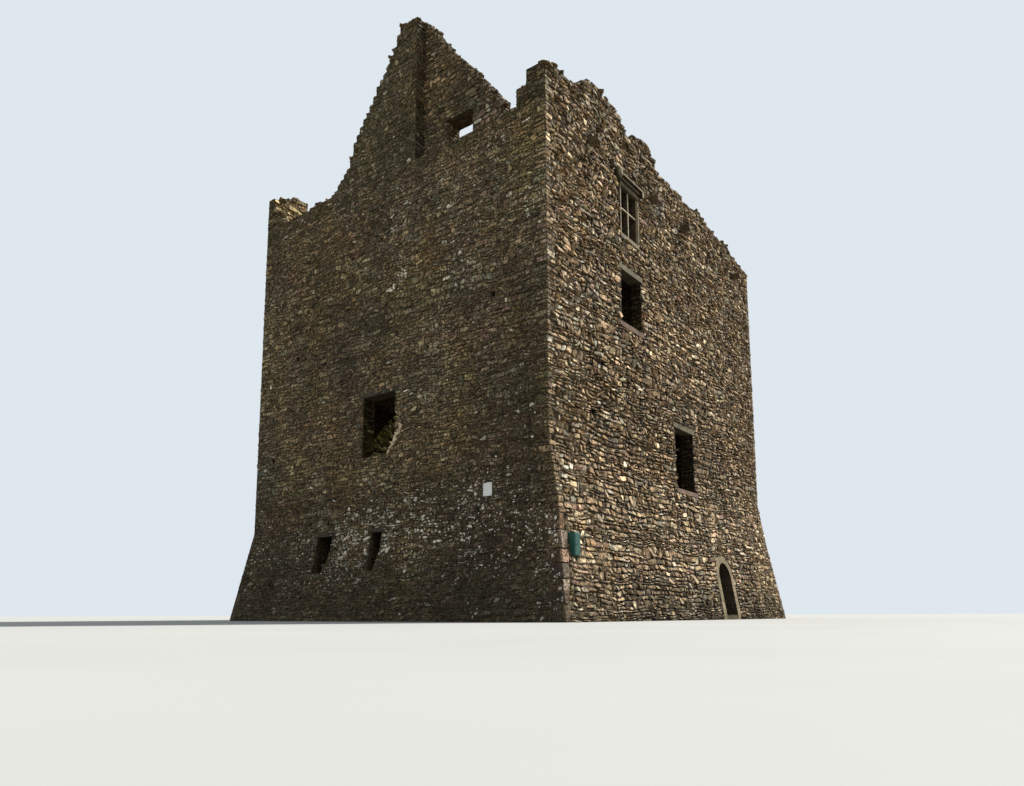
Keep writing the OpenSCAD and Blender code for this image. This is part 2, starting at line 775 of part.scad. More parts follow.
// Drains of the wall walks. An upright outlet at the walk's outer edge drops into a gutter
// that runs through the wall in a spout, whose seat reaches under the outlet
outlet_width = 80;
spout_seat = parapet_wall + 2 * outlet_width;
spout_level = wall_head - spout_drop;
gutter_level = spout_level + spout_size * 0.6;

module right_spout_blocks() for (s = right_spouts)
    translate([face_right - spout_seat, face_front + s[0] - spout_size / 2, spout_level])
        cube([spout_seat + s[1], spout_size, spout_size]);

module left_spout_blocks() for (s = left_spouts)
    translate([face_left - s[1], face_front + s[0] - spout_size / 2, spout_level])
        cube([spout_seat + s[1], spout_size, spout_size]);

module right_outlets() for (s = right_spouts)
    translate([face_right - parapet_wall - outlet_width, face_front + s[0] - outlet_width / 2, gutter_level])
        cube([outlet_width, outlet_width, spout_drop + walk_paving]);

module left_outlets() for (s = left_spouts)
    translate([face_left + parapet_wall, face_front + s[0] - outlet_width / 2, gutter_level])
        cube([outlet_width, outlet_width, spout_drop + walk_paving]);

module front_parapet() color("#6f6657") {
    translate([face_left + parapet_wall, 0, wall_head]) along_y(face_front, parapet_wall)
        broken_face(front_remains_left, 0, keep_width / 2 - parapet_wall + stack_left, stone, 31);
    translate([face_right - parapet_wall, 0, wall_head]) mirror([1, 0, 0])
        along_y(face_front, parapet_wall)
            broken_face(front_remains_right, 0, upper_wall - parapet_wall, stone, 37);
}

module back_parapet() color("#6f6657")
    translate([face_left + parapet_wall, 0, wall_head])
        along_y(face_back - wing_set_back, wing_set_back)
            broken_face(back_remains, 0, keep_width - 2 * parapet_wall, stone, 41);

module left_wall_walk() color("#7a7468") difference() {
    span([face_left + parapet_wall, face_front + gable_wall, wall_head],
        [face_left + upper_wall, face_back - gable_wall, wall_head + walk_paving]);
    left_outlets();
}

module right_wall_walk() color("#7a7468") difference() {
    span([face_right - upper_wall, face_front + gable_wall, wall_head],
        [face_right - parapet_wall, face_back - gable_wall, wall_head + walk_paving]);
    right_outlets();
}

// Gutters, open at the top and at the spout's end
module right_drain_spouts() color("#a08a6b") difference() {
    right_spout_blocks();
    for (s = right_spouts)
        translate([face_right - parapet_wall - outlet_width, face_front + s[0] - outlet_width / 2,
            gutter_level])
            cube([spout_seat + s[1], outlet_width, spout_size]);
}

module left_drain_spouts() color("#a08a6b") difference() {
    left_spout_blocks();
    for (s = left_spouts)
        translate([face_left + parapet_wall + outlet_width - spout_seat - s[1],
            face_front + s[0] - outlet_width / 2, gutter_level])
            cube([spout_seat + s[1], outlet_width, spout_size]);
}

// Fittings

// The plate stands on two upright battens. Its distance from the middle of the front wall
plate_thickness = 10;
batten_width = 40;
batten_depth = 30;
plate_offset = 4120;

module notice_plate() color("#eef0ee") at_front(plate_offset)
    translate([0, 0, batter_height + plate_gap]) {
        span([-plate_width / 2, -batten_depth - plate_thickness, 0],
            [plate_width / 2, -batten_depth, plate_height]);
        for (side = [0, 1]) mirror([side, 0, 0])
            span([plate_width / 2 - 2 * batten_width, -batten_depth, batten_width],
                [plate_width / 2 - batten_width, 0, plate_height - batten_width]);
    }

// Depth and level of the wall box, and its distance from the front face's plane
box_depth = 110;
box_level = 1570;
box_gap = 220;

// Upright metal box with a rounded lower edge, fixed to the battered face
module wall_box() color("#2c6459") {
    front_x = face_right + (right_batter_height - box_level) * batter_slope + box_depth;
    difference() {
        translate([0, face_front + box_gap + box_width, box_level]) along_y(-box_width, box_width)
            union() {
                translate([centre_x, box_depth / 2])
                    square([front_x - centre_x, box_height - box_depth / 2]);
                translate([centre_x, 0]) square([front_x - box_depth / 2 - centre_x, box_depth]);
                translate([front_x - box_depth / 2, box_depth / 2]) circle(box_depth / 2);
            }
        battered_block();
    }
}

front_wall_base();
back_wall_base();
left_wall_base();
right_wall_base_front();
right_wall_base_back();
doorway_head();
doorway_surround();
ground_floor();
barrel_vault();
first_floor();
front_wall_first();
back_wall_first();
left_wall_first();
right_wall_first();
front_wall_upper();
back_wall_upper();
left_wall_upper();
right_wall_upper();
front_gable_stack();
front_gable_wing();
back_gable();
front_parapet();
back_parapet();
left_parapet();
right_parapet();
left_wall_walk();
right_wall_walk();
right_drain_spouts();
left_drain_spouts();
hooded_window_surround();
hooded_window_mullion();
hooded_window_transom();
hood_mould();
window_lintels();
window_sills();
loop_lintels();
notice_plate();
wall_box();
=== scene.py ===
"""Looks for the castle keep, in metres: separate stones on every wall, dressed stone, fittings, stage."""
import math

import bmesh
import bpy
import numpy as np
from mathutils import Matrix, Vector
from mathutils.bvhtree import BVHTree


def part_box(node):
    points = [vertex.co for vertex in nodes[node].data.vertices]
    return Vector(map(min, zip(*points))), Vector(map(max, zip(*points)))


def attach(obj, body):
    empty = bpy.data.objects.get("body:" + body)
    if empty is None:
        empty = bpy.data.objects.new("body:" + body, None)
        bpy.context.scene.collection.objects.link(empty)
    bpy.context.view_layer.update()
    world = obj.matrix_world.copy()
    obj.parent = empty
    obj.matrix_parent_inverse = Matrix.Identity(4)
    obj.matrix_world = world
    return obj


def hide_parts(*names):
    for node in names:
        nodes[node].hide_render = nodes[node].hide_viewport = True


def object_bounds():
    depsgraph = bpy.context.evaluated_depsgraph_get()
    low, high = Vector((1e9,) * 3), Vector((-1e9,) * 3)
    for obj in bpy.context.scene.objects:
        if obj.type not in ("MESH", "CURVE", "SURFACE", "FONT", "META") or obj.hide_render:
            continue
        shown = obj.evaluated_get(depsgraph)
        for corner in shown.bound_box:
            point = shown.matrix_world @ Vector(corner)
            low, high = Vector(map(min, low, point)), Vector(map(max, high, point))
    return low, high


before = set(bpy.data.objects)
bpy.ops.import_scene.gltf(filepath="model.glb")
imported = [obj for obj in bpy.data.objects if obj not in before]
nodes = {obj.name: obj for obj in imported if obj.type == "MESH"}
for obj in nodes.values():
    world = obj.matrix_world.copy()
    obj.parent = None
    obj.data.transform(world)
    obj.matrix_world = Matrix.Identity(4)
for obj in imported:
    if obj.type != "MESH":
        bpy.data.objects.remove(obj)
cad_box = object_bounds()
rng = np.random.default_rng(11)

# Kinds of CAD nodes
PAVING = {"ground_floor", "first_floor", "left_wall_walk", "right_wall_walk"}
LINTELS = {"window_lintels", "loop_lintels"}
DRESSED = {"doorway_surround", "right_drain_spouts", "left_drain_spouts", "hooded_window_surround",
           "hooded_window_mullion", "hooded_window_transom", "hood_mould", "window_sills"} | LINTELS
FITTINGS = {"notice_plate", "wall_box"}
RUBBLE = set(nodes) - PAVING - DRESSED - FITTINGS
BROKEN = {"front_gable_stack", "front_gable_wing", "back_gable", "front_parapet", "back_parapet",
          "left_parapet", "right_parapet"}

# Main lines of the CAD part
wall_low, wall_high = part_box("front_wall_upper")
FACE_LEFT = wall_low.x
FACE_RIGHT = wall_high.x
FACE_FRONT = wall_low.y
FACE_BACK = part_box("back_wall_upper")[1].y
WALL_HEAD = wall_high.z
TOP = cad_box[1].z
# Height of the battered foot, on the right face and on the others, and its run for each unit of height
RIGHT_BATTER = 4.5
BATTER = 2.9
SLOPE = 0.165
# Level that divides the lower face stones from the upper ones
FACE_SPLIT = 7.0
# Farther than one point of the keep can be from another that faces it
FAR = 20.0


def batter_run(z, height):
    return SLOPE * np.maximum(0.0, height - np.asarray(z, float))


# What stands where
def solid_tree():
    """All CAD nodes but the fittings as one tree for rays, and the node that owns each face."""
    points, polys, owner = [], [], []
    for name, ob in nodes.items():
        if name in FITTINGS:
            continue
        first = len(points)
        points += [v.co.copy() for v in ob.data.vertices]
        for poly in ob.data.polygons:
            polys.append([first + i for i in poly.vertices])
            owner.append(name)
    return BVHTree.FromPolygons(points, polys), owner


tree, owner = solid_tree()


class Face:
    """A face of the keep, with u level along it and v up it. It leans out below its batter's height."""

    def __init__(self, origin, normal, batter=None, backing=RUBBLE):
        self.normal = Vector(normal).normalized()
        if abs(self.normal.z) > 0.9:
            along = Vector((1, 0, 0))
        else:
            along = Vector((-self.normal.y, self.normal.x, 0)).normalized()
        self.origin = np.array(origin, float)
        self.along = np.array(along)
        self.up = np.array(self.normal.cross(along))
        self.out = np.array(self.normal)
        self.batter = batter
        self.backing = backing
        # How far before the face a ray starts, and how far the face may lie from where it should
        self.start, self.slack = (1.2, 0.035) if batter else (0.06, 0.012)

    def flat(self, p):
        d = np.asarray(p) - self.origin
        return d @ self.along, d @ self.up

    def place(self, u, v, h):
        """Points at u and v, which stand h out of the face."""
        run = batter_run(v, self.batter) if self.batter else 0
        h = np.broadcast_to(run + h, np.shape(u))
        return self.origin + np.outer(u, self.along) + np.outer(v, self.up) + np.outer(h, self.out)

    def holds(self, u, v):
        """Where stones may lie: the points with backing right behind them, but inside no other solid."""
        out = np.zeros(len(u), bool)
        for i, p in enumerate(self.place(u, v, self.start)):
            p = Vector(p)
            hit, _, face, dist = tree.ray_cast(p, -self.normal, self.start + self.slack)
            if hit is not None and dist > self.start - self.slack and owner[face] in self.backing:
                away, n, _, _ = tree.ray_cast(p, self.normal, FAR)
                out[i] = away is None or n.dot(self.normal) < 0.01
        return out


FRONT = Face((0, FACE_FRONT, 0), (0, -1, 0), BATTER, RUBBLE | LINTELS)
RIGHT = Face((FACE_RIGHT, 0, 0), (1, 0, 0), RIGHT_BATTER)
BACK = Face((0, FACE_BACK, 0), (0, 1, 0), BATTER)
LEFT = Face((FACE_LEFT, 0, 0), (-1, 0, 0), BATTER)


# Stones laid in rough courses
def field(p, size, seed, waves=14):
    """Smooth random field, spread about as a normal one, with features of the given size."""
    r = np.random.default_rng(seed)
    k = r.standard_normal((waves, 3)) * (2.2 / size)
    return np.cos(p @ k.T + r.random(waves) * 2 * math.pi).sum(1) / math.sqrt(waves / 2)


def uneven(vary, least, most):
    """A random factor round 1."""
    return float(np.clip(math.exp(vary * rng.standard_normal()), least, most))


def gaps(taken, start, end):
    """What the taken stretches leave free between start and end."""
    free = []
    for a, b in sorted(taken):
        free.append((start, a))
        start = b
    return free + [(start, end)]


def lay(u0, u1, v0, v1, length, height, big=0.1, split=0.14, pins=0.1, wave=0.22, spread=0.24,
        lean=0.12, warp=0.0):
    """Quads (n, 4, 2) of stones in courses: low left, low right, high right, high left. Big, split and pins
    are shares: of stones two courses high, of pairs of thin ones, and of those with pins at an end."""
    levels = [v0 - height]
    while levels[-1] < v1 + height:
        levels.append(levels[-1] + height * uneven(spread, 0.55, 1.7))
    levels = np.array(levels)
    phases = np.cumsum(0.45 * rng.standard_normal((len(levels), 3)), 0)

    def line(i, u):
        a, b, c = phases[i]
        swell = 0.8 * math.sin(1.3 * u + a) + 0.5 * math.sin(4.1 * u + b) + 0.35 * math.sin(9.7 * u + c)
        return levels[i] + wave * height * swell

    quads, taken = [], []
    for i in range(len(levels) - 2):
        free = gaps(taken, u0, u1)
        taken = []
        rise = (levels[i + 1] - levels[i]) / height
        for a, b in free:
            a_low = a_top = a
            while b - a > 0.02:
                size = length * (0.72 + 0.28 * rise) * uneven(0.38, 0.4, 1.9)
                tall = rng.random() < big and size < min(b - a, 1.3 * length) and rise < 1.15
                if b - a < size + 0.45 * length:
                    size = b - a
                    tip = 0.0
                else:
                    tip = lean * height * rng.standard_normal()
                end = a + size
                top = i + 2 if tall and size < b - a else i + 1
                quads.append(((a_low, line(i, a)), (end + tip, line(i, end)), (end - tip, line(top, end)),
                              (a_top, line(top, a))))
                if top == i + 2:
                    taken.append((a, end))
                a, a_low, a_top = end, end + tip, end - tip
    q = np.array(quads)
    if warp:
        p = np.pad(q.reshape(-1, 2), ((0, 0), (0, 1)))
        q = q + warp * np.stack([field(p, 0.45, 5), field(p, 0.35, 6)], 1).reshape(q.shape)
    return break_up(q, length, height, pins, split)


def break_up(q, length, height, pins, split):
    """Gives some stones two small ones at an end, and makes others into two thin ones."""
    n = len(q)
    wide = q[:, 1, 0] - q[:, 0, 0]
    tall = q[:, 3, 1] - q[:, 0, 1]
    pin = (rng.random(n) < pins) & (wide > 0.55 * length)
    share = (1 - (0.3 + 0.25 * rng.random(n)) * height / np.maximum(wide, 0.01)).clip(0.5, 0.95)
    ends = q[pin].copy()
    for a, b in ((0, 1), (3, 2)):
        cut = q[pin, a] + (q[pin, b] - q[pin, a]) * share[pin, None]
        ends[:, a] = cut
        q[np.flatnonzero(pin), b] = cut
    ends = halve(ends, 0.35, 0.65)
    double = (rng.random(n) < split) & (tall > 0.75 * height) & ~pin
    return np.concatenate([q[~double], halve(q[double], 0.38, 0.62), ends])


def halve(q, least, most):
    """Splits quads by a nearly level joint."""
    if not len(q):
        return q
    a = least + (most - least) * rng.random((len(q), 1))
    b = (a + 0.1 * rng.standard_normal((len(q), 1))).clip(0.25, 0.75)
    left = q[:, 0] + (q[:, 3] - q[:, 0]) * a
    right = q[:, 1] + (q[:, 2] - q[:, 1]) * b
    lower, upper = q.copy(), q.copy()
    lower[:, 3], lower[:, 2] = left, right
    upper[:, 0], upper[:, 1] = left, right
    return np.concatenate([lower, upper])


def outlines(q, joint, corners, rough):
    """Middle of each stone, and its outline as offsets from it: a quad with its corners knocked off, or
    with only 6 corners one with bent beds."""
    n = len(q)
    c = q.mean(1)
    wide = np.maximum((q[:, 1, 0] - q[:, 0, 0] + q[:, 2, 0] - q[:, 3, 0]) / 2, 0.02)
    tall = np.maximum((q[:, 3, 1] - q[:, 0, 1] + q[:, 2, 1] - q[:, 1, 1]) / 2, 0.02)
    small = np.minimum(wide, tall)
    knock = small[:, None] * (0.1 + 0.32 * rng.random((n, 4)) ** 1.6) * rough
    ku = (knock * (0.7 + 0.9 * rng.random((n, 4))) / wide[:, None]).clip(0.02, 0.34).T
    kv = (knock / tall[:, None]).clip(0.02, 0.36).T
    bend = 0.07 * rng.standard_normal((n, 2)).clip(-1.5, 1.5)
    half = 0.5 + 0.14 * rng.standard_normal(n).clip(-1.4, 1.4)
    if corners == 8:
        path = [(ku[0], 0), (1 - ku[1], 0), (1, kv[1]), (1, 1 - kv[2]), (1 - ku[2], 1), (ku[3], 1),
                (0, 1 - kv[3]), (0, kv[0])]
    else:
        path = [(0, 0.04), (half, bend[:, 0]), (1, 0.04), (1, 0.96), (half, 1 + bend[:, 1]), (0, 0.96)]
    s, t = (np.stack([p[axis] + np.zeros(n) for p in path], 1) for axis in (0, 1))
    t = t + 0.015 * rng.standard_normal(t.shape)
    weights = ((1 - s) * (1 - t), s * (1 - t), s * t, (1 - s) * t)
    d = sum(w[..., None] * q[:, None, i] for i, w in enumerate(weights)) - c[:, None]
    d[..., 0] *= (1 - joint / wide)[:, None].clip(0.5, 1)
    d[..., 1] *= (1 - joint / tall)[:, None].clip(0.5, 1)
    return c, d[..., 0], d[..., 1]


def outline_area(du, dv):
    return 0.5 * np.abs((du * np.roll(dv, -1, 1) - dv * np.roll(du, -1, 1)).sum(1))


def trim(surface, c, du, dv, blocked, least=0.0012):
    """Pulls the outline points that hang over an edge back to it, and drops stones off the wall."""
    def good(u, v):
        ok = np.ones(len(u), bool)
        for test in blocked:
            ok &= ~test(u, v)
        ok[ok] = surface.holds(u[ok], v[ok])
        return ok

    inside = good(c[:, 0], c[:, 1])
    c, du, dv = c[inside], du[inside], dv[inside]
    k = du.shape[1]
    u = (c[:, :1] + du).ravel()
    v = (c[:, 1:] + dv).ravel()
    bad = np.flatnonzero(~good(u, v))
    cu, cv = np.repeat(c[:, 0], k)[bad], np.repeat(c[:, 1], k)[bad]
    ru, rv = u[bad] - cu, v[bad] - cv
    low, high = np.zeros(len(bad)), np.ones(len(bad))
    for _ in range(5):
        mid = (low + high) / 2
        ok = good(cu + ru * mid, cv + rv * mid)
        low, high = np.where(ok, mid, low), np.where(ok, high, mid)
    u[bad], v[bad] = cu + ru * low, cv + rv * low
    du, dv = u.reshape(-1, k) - c[:, :1], v.reshape(-1, k) - c[:, 1:]
    keep = outline_area(du, dv) > least
    return c[keep], du[keep], dv[keep]


def clad(surface, u0, u1, v0, v1, length, height, corners=8, proud=(0.006, 0.03), joint=0.014,
         blocked=(), tilt=1.0, rough=1.0, jag=0.003, **courses):
    """Stones on a surface: it, their middles, their outlines and how far each outline point stands out."""
    q = lay(u0, u1, v0, v1, length, height, **courses)
    c, du, dv = trim(surface, *outlines(q, joint, corners, rough), blocked)
    n = len(c)
    h = proud[0] + (proud[1] - proud[0]) * rng.random(n) ** 1.5
    slope_u = 0.05 * tilt * rng.standard_normal(n)
    slope_v = 0.1 * tilt * rng.standard_normal(n)
    top = h[:, None] + slope_u[:, None] * du + slope_v[:, None] * dv + jag * rng.standard_normal(du.shape)
    return surface, c, du, dv, top.clip(0.002, proud[1] * 1.6)


def split_at(part, level):
    below = part[1][:, 1] < level
    return [tuple([part[0]] + [a[m] for a in part[1:]]) for m in (below, ~below)]


# Meshes of stones
def add_piece(name, me, source_names=()):
    """Puts a mesh in the scene as a piece of the keep."""
    ob = bpy.data.objects.new(name, me)
    bpy.context.scene.collection.objects.link(ob)
    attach(ob, "root")
    if source_names:
        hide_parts(*source_names)
    return ob


def make_mesh(name, co, tri, col, cov, edge, slot="rubble"):
    """A piece from points, triangles, and each point's stone colour, cover and light."""
    me = bpy.data.meshes.new(name)
    me.from_pydata(np.asarray(co).tolist(), [], np.asarray(tri).tolist())
    for label, colour, strength in (("stone", col, edge), ("cover", cov, 1)):
        full = np.ones((len(co), 4), np.float32)
        full[:, :3] = colour
        full[:, 3] = strength
        me.attributes.new(label, "FLOAT_COLOR", "POINT").data.foreach_set("color", full.ravel())
    return add_piece(name, me)


def stone_mesh(name, parts, colour, cover, slot="rubble", joint=0.0, inset=0.011, domed=False, bed=0.015):
    """One mesh of many stones, each an outline in the wall and a cap, with a raised middle point if domed.
    Joint is the light at the outline's foot, and inset how far the cap lies inside it."""
    co, tri, col, cov, edge = [], [], [], [], []
    base = 0
    for surface, c, du, dv, top in parts:
        n, k = du.shape
        if not n:
            continue
        cu, cv = c[:, :1], c[:, 1:]
        inset_u = 1 - (inset / np.abs(du).max(1, keepdims=True)).clip(0, 0.36)
        inset_v = 1 - (inset / np.abs(dv).max(1, keepdims=True)).clip(0, 0.36)
        foot = surface.place((cu + du).ravel(), (cv + dv).ravel(), -bed)
        rim = surface.place((cu + du * inset_u).ravel(), (cv + dv * inset_v).ravel(), top.ravel())
        rings = [foot.reshape(n, k, 3), rim.reshape(n, k, 3)]
        light = [np.full(k, joint)]
        j = np.arange(k)
        jn = (j + 1) % k
        faces = [np.stack([j, jn, k + jn], 1), np.stack([j, k + jn, k + j], 1)]
        if domed:
            rise = top.mean(1) * (1.0 + 0.3 * rng.random(n)) + 0.001
            rings.append(surface.place(c[:, 0] + du.mean(1), c[:, 1] + dv.mean(1), rise).reshape(n, 1, 3))
            faces.append(np.stack([k + j, k + jn, np.full(k, 2 * k)], 1))
            light += [np.full(k, 0.8), [1.0]]
        else:
            faces.append(np.stack([np.full(k - 2, k), k + j[1:-1], k + j[2:]], 1))
            light.append(np.full(k, 0.9))
        block = np.concatenate(rings, 1)
        size = block.shape[1]
        first = base + np.arange(n) * size
        base += n * size
        mid = block.mean(1)
        co.append(block.reshape(-1, 3))
        tri.append((np.concatenate(faces)[None] + first[:, None, None]).reshape(-1, 3))
        col.append(np.repeat(colour(mid, outline_area(du, dv)), size, 0))
        cov.append(np.repeat(cover(mid), size, 0))
        edge.append(np.tile(np.concatenate(light), n))
    return make_mesh(name, *(np.concatenate(a) for a in (co, tri, col, cov, edge)), slot)


# Colours of the stones
def srgb(*values):
    """The linear colour of one in 0 to 255, or of several."""
    c = np.array(values) / 255
    return np.where(c <= 0.04045, c / 12.92, ((c + 0.055) / 1.055) ** 2.4)


# Families of stones: their colours, and the share of each
WARM = (srgb((128, 110, 82), (114, 98, 74), (144, 128, 100), (104, 86, 60), (122, 114, 94), (122, 100, 82),
             (160, 146, 118), (88, 78, 62)), [0.26, 0.2, 0.16, 0.12, 0.09, 0.05, 0.07, 0.05])
COOL = (srgb((104, 92, 70), (94, 83, 62), (114, 102, 79), (88, 75, 53), (98, 93, 74), (99, 82, 68),
             (128, 118, 96), (78, 70, 56)), [0.26, 0.22, 0.17, 0.12, 0.1, 0.05, 0.03, 0.05])
# Near-white stones: pale torn stone with painted sunlight on it
SUN_PAINTED_PALE = (srgb((255, 244, 218), (244, 222, 182)), [0.7, 0.3])
LICHEN = srgb(196, 190, 170)

# Clusters of stones grown over with pale lichen, as x, y, z, radius and strength
FRONT_PALE = [(0.5, -7.5, 12.1, 0.6, 0.2), (2.5, -7.5, 12.5, 0.7, 0.14), (-4.8, -7.5, 12.9, 1.0, 0.12),
              (4.2, -7.5, 13.3, 1.0, 0.14), (0.6, -7.5, 10.3, 0.6, 0.2), (3.0, -7.5, 10.1, 0.9, 0.24),
              (3.7, -7.5, 3.1, 1.1, 0.24), (1.3, -7.5, 3.0, 0.9, 0.24), (-0.6, -7.6, 2.4, 1.0, 0.34),
              (-1.7, -7.6, 2.0, 0.8, 0.14), (5.5, -7.5, 11.0, 0.5, 0.2), (5.6, -7.5, 5.4, 0.8, 0.16),
              (6.0, -7.8, 1.5, 0.9, 0.26)]
RIGHT_PALE = [(5.9, -6.9, 7.4, 1.7, 0.14), (5.9, -4.6, 5.6, 1.5, 0.1), (6.1, -7.0, 3.2, 1.2, 0.12)]

# Low and high corner of where the front window's right jamb has broken away, and of the room behind it
JAMB_BREAK = ((0.05, -FAR, 3.9), (1.0, -6.4, 6.3))
SHADED_ROOM = ((-1.8, -FAR, 4.4), (0.0, -5.4, 7.3))
# Painted shade for the stones of that room: darker and olive green
ROOM_SHADE_TINT = [0.75, 0.77, 0.52]


def within(p, box):
    p = np.asarray(p)
    return ((p > box[0]) & (p < box[1])).all(-1)


def blobs(mid, table):
    """Sum of soft round patches."""
    out = np.zeros(len(mid))
    for x, y, z, r, k in table:
        d = ((mid - [x, y, z]) ** 2).sum(1)
        out += k * np.exp(-d / (r * r))
    return out


def palette(family, gain, vary, patch=0.1, pale=(), base=0.012, hue=1.0):
    """Colours for stones by where they lie: a family's times a gain, in patches, and lichen's."""
    table, share = family
    table = table * gain

    def pick(mid, area=0.0):
        n = len(mid)
        c = table[rng.choice(len(table), n, p=share)]
        own = vary * rng.standard_normal(n).clip(-2, 2)
        light = own + patch * (field(mid, 1.7, 1) + 0.6 * field(mid, 0.6, 2))
        ochre = 0.04 * hue * field(mid, 1.9, 3)[:, None]
        green = 0.022 * hue * field(mid, 1.5, 4)[:, None]
        tint = 1 + ochre * [0.6, 0.1, -1.6] + green * [-0.9, 0.5, 0.3] + 0.02 * rng.standard_normal((n, 3))
        c = c * np.exp(light)[:, None] * tint
        grown = rng.random(n) < (base + blobs(mid, pale)) * np.exp(-area / 0.015)
        return np.where(grown[:, None], LICHEN * np.exp(0.25 * rng.standard_normal((n, 1))), c)
    return pick


# The right face's stones are painted much lighter than the other walls': painted sunlight on that face,
# over their own tan colour. The quoins' right sides get the same, less strongly.
warm = palette(WARM, [1.78, 1.77, 1.9], 0.33, 0.08, RIGHT_PALE, 0.05, 0.2)
warm_quoins = palette(WARM, [1.2, 1.2, 1.28], 0.36, 0.08, RIGHT_PALE, 0.04, 0.3)
plain = palette(WARM, [0.98, 0.97, 1.02], 0.3, 0.12, base=0.03, hue=0.5)
# The wall heads' stones, painted lighter: painted sunlight on the broken tops
head_stones = palette(WARM, 1.5, 0.22)
crown = palette(WARM, 0.9, 0.25, hue=0.4)
cool_stones = palette(COOL, 1.45, 0.28, 0.13, FRONT_PALE, 0.015)
inner = palette(COOL, 0.95, 0.16, 0.1)
flags = palette(COOL, 0.9, 0.1)
# Stones of the reveals, painted dark: painted shade in the openings
reveal_shade_painted = palette(COOL, [0.42, 0.41, 0.34], 0.15, 0.08)
sun_painted_pale = palette(SUN_PAINTED_PALE, 1.0, 0.12, 0.0, hue=0.0)


def cool(mid, area=0.0):
    """The front's stones, darker towards the foot and low beside the near corner."""
    low_down = 1 / (1 + np.exp((mid[:, 2] - 3.6) / 0.4))
    by_corner = 1 / (1 + np.exp(-(mid[:, 0] - 3.4) / 0.5)) / (1 + np.exp((mid[:, 2] - 9) / 1.0))
    return cool_stones(mid, area) * np.exp(-0.44 * low_down - 0.22 * by_corner)[:, None]


def reveal(mid, area=0.0):
    """Stones round the openings painted dark as painted shade, near-white ones on the broken jamb as
    painted sunlight, and darker green painted shade in the room behind.
    """
    bright = within(mid, JAMB_BREAK) & (mid[:, 1] < FACE_FRONT + 0.2)
    tint = np.where(within(mid, SHADED_ROOM)[:, None], ROOM_SHADE_TINT, 1.0)
    return np.where(bright[:, None], sun_painted_pale(mid), reveal_shade_painted(mid) * tint)


def head_look(mid, area=0.0):
    """Stones of the wall heads, painted light as sunlit, with painted shade on the stack's side where it
    stands proud of the wing beside it.
    """
    stack_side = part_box("front_gable_stack")[1].x
    return_side = (abs(mid[:, 0] - stack_side) < 0.06) & (mid[:, 1] < FACE_FRONT + 1)
    return np.where(return_side[:, None], cool(mid) * 0.5, head_stones(mid))


# Cover of the stones: lichen, moss and damp
def front_cover(mid):
    z = mid[:, 2]
    pale = 0.07 + 1.4 * blobs(mid, FRONT_PALE)
    pale = pale + 0.24 * np.exp(-((z - 2.1) / 1.1) ** 2) + 0.12 * np.exp(-z / 0.8)
    moss = 0.14 + 0.25 * np.exp(-(z / 0.9) ** 2) + 0.3 * (z > 13.3)
    return np.stack([pale, moss, np.exp(-(z / 1.7) ** 4)], 1)


def right_cover(mid):
    z = mid[:, 2]
    moss = 0.1 + 0.3 * np.exp(-(z / 1.1) ** 2) + 0.25 * (z > 14.6)
    return np.stack([0.05 + 0.6 * blobs(mid, RIGHT_PALE), moss, np.exp(-(z / 1.2) ** 4)], 1)


def plain_cover(mid):
    z = mid[:, 2]
    return np.stack([0.08 + 0 * z, 0.18 + 0.25 * np.exp(-(z / 1.0) ** 2), np.exp(-(z / 1.2) ** 4)], 1)


def bare(mid):
    return 0 * mid


